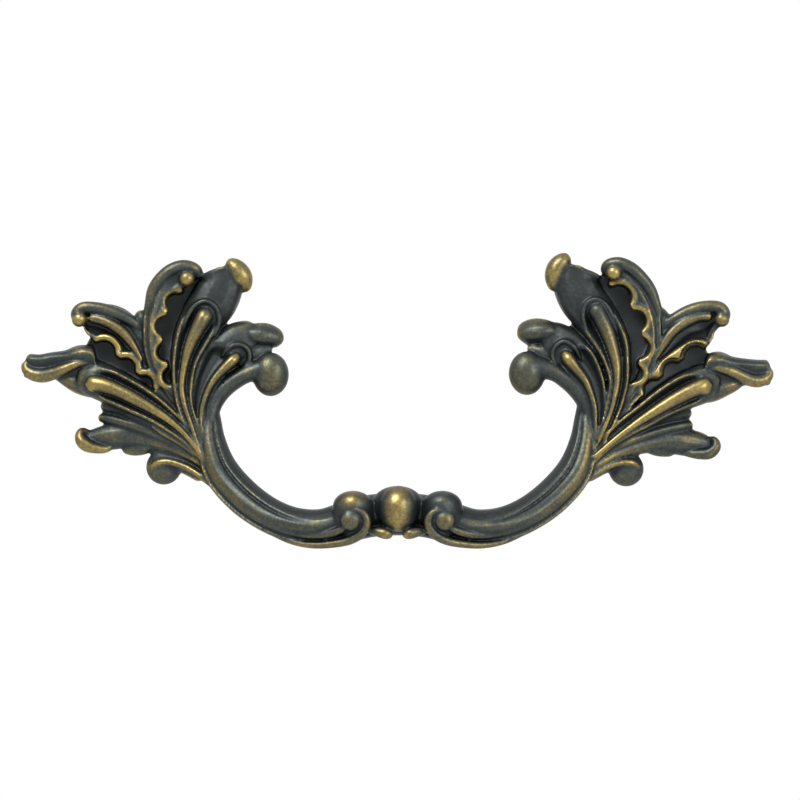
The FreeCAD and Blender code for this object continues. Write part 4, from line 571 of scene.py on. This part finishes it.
def grip():
    """The bar from fan to fan, drawn from right to left, so that +1 across is its outer edge."""
    samples, across = GRIP_GRAIN
    line, _ = through(GRIP[:-1] + mirrored(-1, reversed(GRIP)), samples)
    x, z, half, front = line.T
    t = np.linspace(-1, 1, across)
    blend = smoothstep(*GRIP_CHANGE, np.abs(x))[:, None]
    rise = BY_FAN(-t) * blend + BY_MIDDLE(-t) * (1 - blend)
    front_x, front_z = sideways(x, z, half, t)
    front_h = front[:, None] + rise * half[:, None]
    spokes = np.linspace(0, math.pi, GRIP_SPOKES)[1:-1]
    edge = half[:, None] * GRIP_EDGE
    back_x, back_z = sideways(x, z, half, np.cos(spokes))
    back_h = front[:, None] - edge - (GRIP_THICK - edge) * np.sin(spokes)
    rings = np.concatenate([np.stack([front_x, front_h, front_z], axis=2),
                            np.stack([back_x, back_h, back_z], axis=2)], axis=1)
    outer = smoothstep(*BRASS_ACROSS, t) * smoothstep(*BRASS_ALONG, np.abs(x))[:, None]
    brass = np.full(rings.shape[:2], GRIP_DARK)
    brass[:, :across] = GRIP_BRASS * outer + GRIP_DARK * smoothstep(*DARK_ACROSS, t)
    clay.add(rings[:, ::-1], brass[:, ::-1])


# The lip along the lower edge of the grip that winds up round the eye of a volute, the band inside it
# and the leaflet between the volute and the bead, all on the right.
LIP = [(21.5, -25.0, .3, 17.8), (18.0, -26.4, .45, 19.6), (14.5, -27.0, .55, 21.2), (11.0, -26.8, .65, 22.4),
       (8.1, -26.2, .72, 23.3), (6.3, -25.2, .75, 23.9), (5.4, -24.0, .74, 24.2), (5.2, -22.7, .7, 24.3),
       (5.8, -21.6, .62, 24.3), (6.8, -21.1, .5, 24.2), (7.8, -21.3, .4, 24.0)]
BAND = [(20.0, -24.4, .3, 18.8), (17.0, -25.1, .5, 20.4), (14.0, -25.3, .65, 21.7), (11.4, -25.0, .7, 22.8),
        (9.6, -24.4, .6, 23.5), (8.6, -23.8, .4, 23.8)]
LEAFLET = [(4.8, -24.7, .4, 22.2), (3.3, -24.8, .8, 22.9), (1.9, -25.1, .9, 23.2), (.8, -25.4, .5, 22.6)]
# Stations, brass, thickness and samples of each.
VOLUTE_STRIPS = [(LIP, (.1, .2, .3, .2, .2), 3.0, (90, 17)), (BAND, (.0, .1, .2), 2.0, (50, 15)),
                 (LEAFLET, (-.1, .3, .3), 3.0, (30, 15))]
# Balls at the middle of the grip: (across, up, radius, front).
EYE = (7.9, -22.8, 1.75, 24.5)
BARREL = (7.5, -21.1, 3.5, 24.0)
BARREL_SEAT = (7.6, -22.4, 3.5, 23.7)
BEAD = (.1, -20.85, 3.4, 24.5)
BEAD_SEAT = (0, -20.5, 4.5, 23.2)
BARREL_BRASS = {-1: .5, 1: -.4}


def volute(side):
    """One side of the grip's middle: lip, band, leaflet, eye, and a barrel on its seat."""
    for stations, brass, thick, grain in VOLUTE_STRIPS:
        strip(mirrored(side, stations), round_top, brass, thick, grain=grain)
    eye, barrel, seat = mirrored(side, (EYE, BARREL, BARREL_SEAT))
    ball(*eye, brass=.1, tall=.6)
    # The barrel's brass falls off towards its sides: painted shade on the sides, worn brass in the middle.
    ball(*barrel, brass=BARREL_BRASS[side], tall=.95, long=.94, square=.6, wear_and_side_shade=1.3)
    ball(*seat, brass=.0, tall=.8)


def bead():
    """The bead at the middle, on its dark seat."""
    ball(*BEAD_SEAT, brass=-.3, tall=.85, long=.78, square=.9)
    # The bead's brass falls off towards its sides: painted shade on the sides, worn brass in the middle.
    ball(*BEAD, brass=.6, long=1.15, wear_and_side_shade=1.2)


BOSS_RADIUS, BORE_RADIUS, BOSS_HEIGHT = 3.8, 1.725, 5.4
BOSS_STEPS = 65
BOSS_BRASS = -.3


def boss(side):
    """Round boss with its screw hole, behind one fan."""
    rings = []
    for a in np.linspace(0, 2 * math.pi, BOSS_STEPS):
        section = [(BOSS_RADIUS, 0), (BOSS_RADIUS, BOSS_HEIGHT), (BORE_RADIUS, BOSS_HEIGHT), (BORE_RADIUS, 0)]
        rings.append([(side * POST + r * math.cos(a), h, r * math.sin(a)) for r, h in section])
    clay.add(np.array(rings), np.full(BOSS_STEPS, BOSS_BRASS))


grip()
volute(-1)
volute(1)
bead()
boss(-1)
boss(1)


# ---------------------------------------------------------------- one skin
def mesh_object(name, verts, faces):
    """A Blender object from points in mm."""
    mesh = bpy.data.meshes.new(name)
    mesh.from_pydata([(x * MM, y * MM, z * MM) for x, y, z in verts], [], faces)
    mesh.update()
    made = bpy.data.objects.new(name, mesh)
    bpy.context.scene.collection.objects.link(made)
    bm = bmesh.new()
    bm.from_mesh(mesh)
    bmesh.ops.recalc_face_normals(bm, faces=bm.faces)
    bm.to_mesh(mesh)
    bm.free()
    return made


def apply_modifiers(made):
    """Replaces the mesh by what its modifiers make of it."""
    shown = made.evaluated_get(bpy.context.evaluated_depsgraph_get())
    mesh = bpy.data.meshes.new_from_object(shown)
    made.modifiers.clear()
    made.data = mesh


pull = mesh_object("pull", clay.verts, clay.faces)
remesh = pull.modifiers.new("join", "REMESH")
remesh.mode = "VOXEL"
remesh.voxel_size = VOXEL * MM
apply_modifiers(pull)
smooth = pull.modifiers.new("soften", "SMOOTH")
smooth.factor = SOFTENING
smooth.iterations = SOFTENING_ROUNDS
count = sum(len(p.vertices) - 2 for p in pull.data.polygons)
if count > TRIANGLES:
    thin = pull.modifiers.new("thin", "DECIMATE")
    thin.ratio = TRIANGLES / count
apply_modifiers(pull)
pull.data.polygons.foreach_set("use_smooth", [True] * len(pull.data.polygons))

# ---------------------------------------------------------------- wear and painted highlight
# Rounds of averaging over neighbours: what stands proud of its near and of its wide surroundings, and
# how far the brass of one piece runs into the next.
RIDGE_ROUNDS, RELIEF_ROUNDS, BIAS_ROUNDS = 12, 90, 4


def read(items, name, width, kind=float):
    """One property of all the mesh's items, as rows."""
    values = np.empty(len(items) * width, dtype=kind)
    items.foreach_get(name, values)
    return values.reshape(-1, width)


mesh = pull.data
points = read(mesh.vertices, "co", 3) / MM
normals = read(mesh.vertices, "normal", 3)
edges = read(mesh.edges, "vertices", 2, int)
degree = np.bincount(edges.ravel(), minlength=len(points)).astype(float)


def spread(values, rounds):
    """Averages values over neighbouring vertices."""
    for _ in range(rounds):
        total = np.zeros_like(values)
        for axis in range(values.shape[1]):
            total[:, axis] = (np.bincount(edges[:, 0], values[edges[:, 1], axis], len(points))
                              + np.bincount(edges[:, 1], values[edges[:, 0], axis], len(points)))
        values = 0.5 * values + 0.5 * total / degree[:, None]
    return values


def proud(rounds):
    """How far each vertex stands out from its averaged surroundings, in mm."""
    return np.einsum("ij,ij->i", points - spread(points, rounds), normals)


tree = kdtree.KDTree(len(clay.verts))
for index, vert in enumerate(clay.verts):
    tree.insert(vert, index)
tree.balance()
bias = np.array([clay.brass[tree.find(p)[1]] for p in points])
# facing is how far a surface turns to the front, where camera and lamps stand; the finish adds brass there,
# partly as wear and partly as painted highlight.
layers = {"ridge": proud(RIDGE_ROUNDS), "relief": proud(RELIEF_ROUNDS),
          "bias": spread(bias[:, None], BIAS_ROUNDS)[:, 0], "facing": np.clip(-normals[:, 1], 0, 1)}
for label, values in layers.items():
    mesh.attributes.new(label, "FLOAT", "POINT").data.foreach_set("value", values.astype(np.float32))

# ---------------------------------------------------------------- finish
# What rubs the brass bare, and facing, which adds brass on front faces as partly wear and partly
# painted highlight: (attribute, weight, value at which it does nothing).
RUBBED_AND_HIGHLIT_BY = [("ridge", 3.5, 0.0), ("relief", 0.12, 0.0), ("bias", 0.5, 0.0), ("facing", 0.2, 0.7)]
MOTTLED_BY = [(180.0, 0.5), (2200.0, 0.7)]      # (scale of the noise, weight)
RUBBED_EVENLY = 0.1
NOISE_MIDDLE = 0.5
# Colour from full patina to bare brass, whose brass end also serves as painted highlight: (share of wear
# and painted highlight, colour).
COLOURS = [(0.0, (0.011, 0.015, 0.015)), (0.3, (0.031, 0.039, 0.038)), (0.5, (0.062, 0.063, 0.042)),
           (0.75, (0.142, 0.114, 0.05)), (1.0, (0.265, 0.205, 0.073))]
# Each on full patina, and how much wear and painted highlight add.
METALLIC = (0.55, 0.4)
ROUGHNESS = (0.44, -0.08)
ROUGH_NOISE = (700.0, 0.16)                     # (scale, weight)
BUMP_SCALE, BUMP_DETAIL, BUMP_STRENGTH, BUMP_DISTANCE = 900.0, 6.0, 0.25, 0.0001


def antique_brass():
    """Dark patina, brass worn through on what stands proud, and painted highlight on front faces."""
    material = bpy.data.materials.new("antique_brass")
    material.use_nodes = True
    nodes, links = material.node_tree.nodes, material.node_tree.links
    shader = nodes["Principled BSDF"]
    where = nodes.new("ShaderNodeTexCoord").outputs["Object"]

    def attribute(name):
        node = nodes.new("ShaderNodeAttribute")
        node.attribute_name = name
        return node.outputs["Fac"]

    def math_node(operation, a, b, clamp=False):
        node = nodes.new("ShaderNodeMath")
        node.operation = operation
        node.use_clamp = clamp
        for socket, value in zip(node.inputs, (a, b)):
            if isinstance(value, (int, float)):
                socket.default_value = value
            else:
                links.new(value, socket)
        return node.outputs[0]

    def weighted(value, weight, middle=0.0):
        if middle:
            value = math_node("SUBTRACT", value, middle)
        return math_node("MULTIPLY", value, weight)

    def noise(scale, detail=3.0):
        node = nodes.new("ShaderNodeTexNoise")
        node.inputs["Scale"].default_value = scale
        node.inputs["Detail"].default_value = detail
        links.new(where, node.inputs["Vector"])
        return node.outputs["Fac"]

    def ramp(value, stops):
        node = nodes.new("ShaderNodeValToRGB")
        links.new(value, node.inputs[0])
        while len(node.color_ramp.elements) < len(stops):
            node.color_ramp.elements.new(0.5)
        for element, (place, colour) in zip(node.color_ramp.elements, stops):
            element.position = place
            element.color = (*colour, 1)
        return node.outputs["Color"]

    def from_patina(start, gain):
        return math_node("ADD", math_node("MULTIPLY", rubbed_and_highlit, gain), start)

    # The mix is wear from what stands proud, plus brass on front faces from facing, which is partly wear and
    # partly painted highlight.
    terms = [weighted(attribute(name), weight, middle) for name, weight, middle in RUBBED_AND_HIGHLIT_BY]
    terms += [weighted(noise(scale), weight, NOISE_MIDDLE) for scale, weight in MOTTLED_BY]
    rubbed_and_highlit = terms[0]
    for term in terms[1:]:
        rubbed_and_highlit = math_node("ADD", rubbed_and_highlit, term)
    rubbed_and_highlit = math_node("ADD", rubbed_and_highlit, RUBBED_EVENLY, clamp=True)
    links.new(ramp(rubbed_and_highlit, COLOURS), shader.inputs["Base Color"])
    links.new(from_patina(*METALLIC), shader.inputs["Metallic"])
    scale, weight = ROUGH_NOISE
    rough = math_node("ADD", from_patina(*ROUGHNESS), weighted(noise(scale), weight, NOISE_MIDDLE))
    links.new(rough, shader.inputs["Roughness"])
    bump = nodes.new("ShaderNodeBump")
    bump.inputs["Strength"].default_value = BUMP_STRENGTH
    bump.inputs["Distance"].default_value = BUMP_DISTANCE
    links.new(noise(BUMP_SCALE, BUMP_DETAIL), bump.inputs["Height"])
    links.new(bump.outputs["Normal"], shader.inputs["Normal"])
    return material


mesh.materials.clear()
mesh.materials.append(antique_brass())
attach(pull, "root")
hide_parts("pull_casting")

# ---------------------------------------------------------------- studio, in metres
FLOOR_DROP = 0.2            # floor below the screw holes
FLOOR_SIDE = 2.4
FLOOR_GREY, FLOOR_ROUGH = 0.85, 0.9
LIGHT, WHITE = 0.6, 1.0     # strength of the world on the object, and as the camera and reflections see it
# name: (place, side, power)
LAMPS = {"key": ((-0.25, -0.45, 0.55), 0.35, 6.0), "fill": ((0.5, -0.6, 0.2), 0.4, 3.0)}


def pale_floor():
    """A plain floor with matt paint."""
    bpy.ops.mesh.primitive_plane_add(size=1, location=(0, 0, -FLOOR_DROP))
    made = bpy.context.object
    made.name = "floor"
    made.scale = (FLOOR_SIDE, FLOOR_SIDE, 1)
    paint = bpy.data.materials.new("floor_paint")
    paint.use_nodes = True
    shader = paint.node_tree.nodes["Principled BSDF"]
    shader.inputs["Base Color"].default_value = (FLOOR_GREY, FLOOR_GREY, FLOOR_GREY, 1)
    shader.inputs["Roughness"].default_value = FLOOR_ROUGH
    made.data.materials.append(paint)
    return made


def studio_world():
    """Even light, which the camera, reflections and glass see as white."""
    made = bpy.data.worlds.new("studio")
    bpy.context.scene.world = made
    made.use_nodes = True
    nodes, links = made.node_tree.nodes, made.node_tree.links
    rays = nodes.new("ShaderNodeLightPath").outputs
    seen = rays["Is Camera Ray"]
    for kind in ("Is Glossy Ray", "Is Transmission Ray"):
        either = nodes.new("ShaderNodeMath")
        either.operation = "MAXIMUM"
        links.new(seen, either.inputs[0])
        links.new(rays[kind], either.inputs[1])
        seen = either.outputs[0]
    mix = nodes.new("ShaderNodeMix")
    mix.data_type = "FLOAT"
    links.new(seen, mix.inputs[0])
    mix.inputs[2].default_value = LIGHT
    mix.inputs[3].default_value = WHITE
    links.new(mix.outputs[0], nodes["Background"].inputs["Strength"])
    nodes["Background"].inputs["Color"].default_value = (1, 1, 1, 1)


def lamp(name, place, size, power):
    """A soft square lamp that looks at the pull."""
    light = bpy.data.lights.new(name, "AREA")
    light.size = size
    light.energy = power
    made = bpy.data.objects.new(name, light)
    bpy.context.scene.collection.objects.link(made)
    made.location = place
    made.rotation_euler = (-Vector(place)).to_track_quat("-Z", "Y").to_euler()


floor = pale_floor()
studio_world()
for name, (place, size, power) in LAMPS.items():
    lamp(name, place, size, power)

# ---------------------------------------------------------------- camera
LENS, SENSOR = 600, 36      # mm
PHOTO_SIDE = 800            # pixels
ORIGIN_PIXEL = (397.6, 385.0)           # where the photograph shows the middle between the holes
TIP_TO_TIP, TIP_TO_TIP_PIXELS = 127.0, 751.0    # the pull over its leaf tips, in mm and in the photograph
PIXEL = TIP_TO_TIP / TIP_TO_TIP_PIXELS * MM     # in metres, on the plane below
SCALE_PLANE = 0.012         # in front of the drawer face
CLIP_END = 20

camera = bpy.data.cameras.new("camera")
camera.lens = LENS
camera.sensor_width = SENSOR
camera.clip_end = CLIP_END
eye = bpy.data.objects.new("camera", camera)
bpy.context.scene.collection.objects.link(eye)
distance = LENS / SENSOR * PHOTO_SIDE * PIXEL
eye.location = ((PHOTO_SIDE / 2 - ORIGIN_PIXEL[0]) * PIXEL, -SCALE_PLANE - distance,
                (ORIGIN_PIXEL[1] - PHOTO_SIDE / 2) * PIXEL)
eye.rotation_euler = (math.pi / 2, 0, 0)
bpy.context.scene.camera = eye
bpy.context.scene.view_settings.view_transform = "Standard"
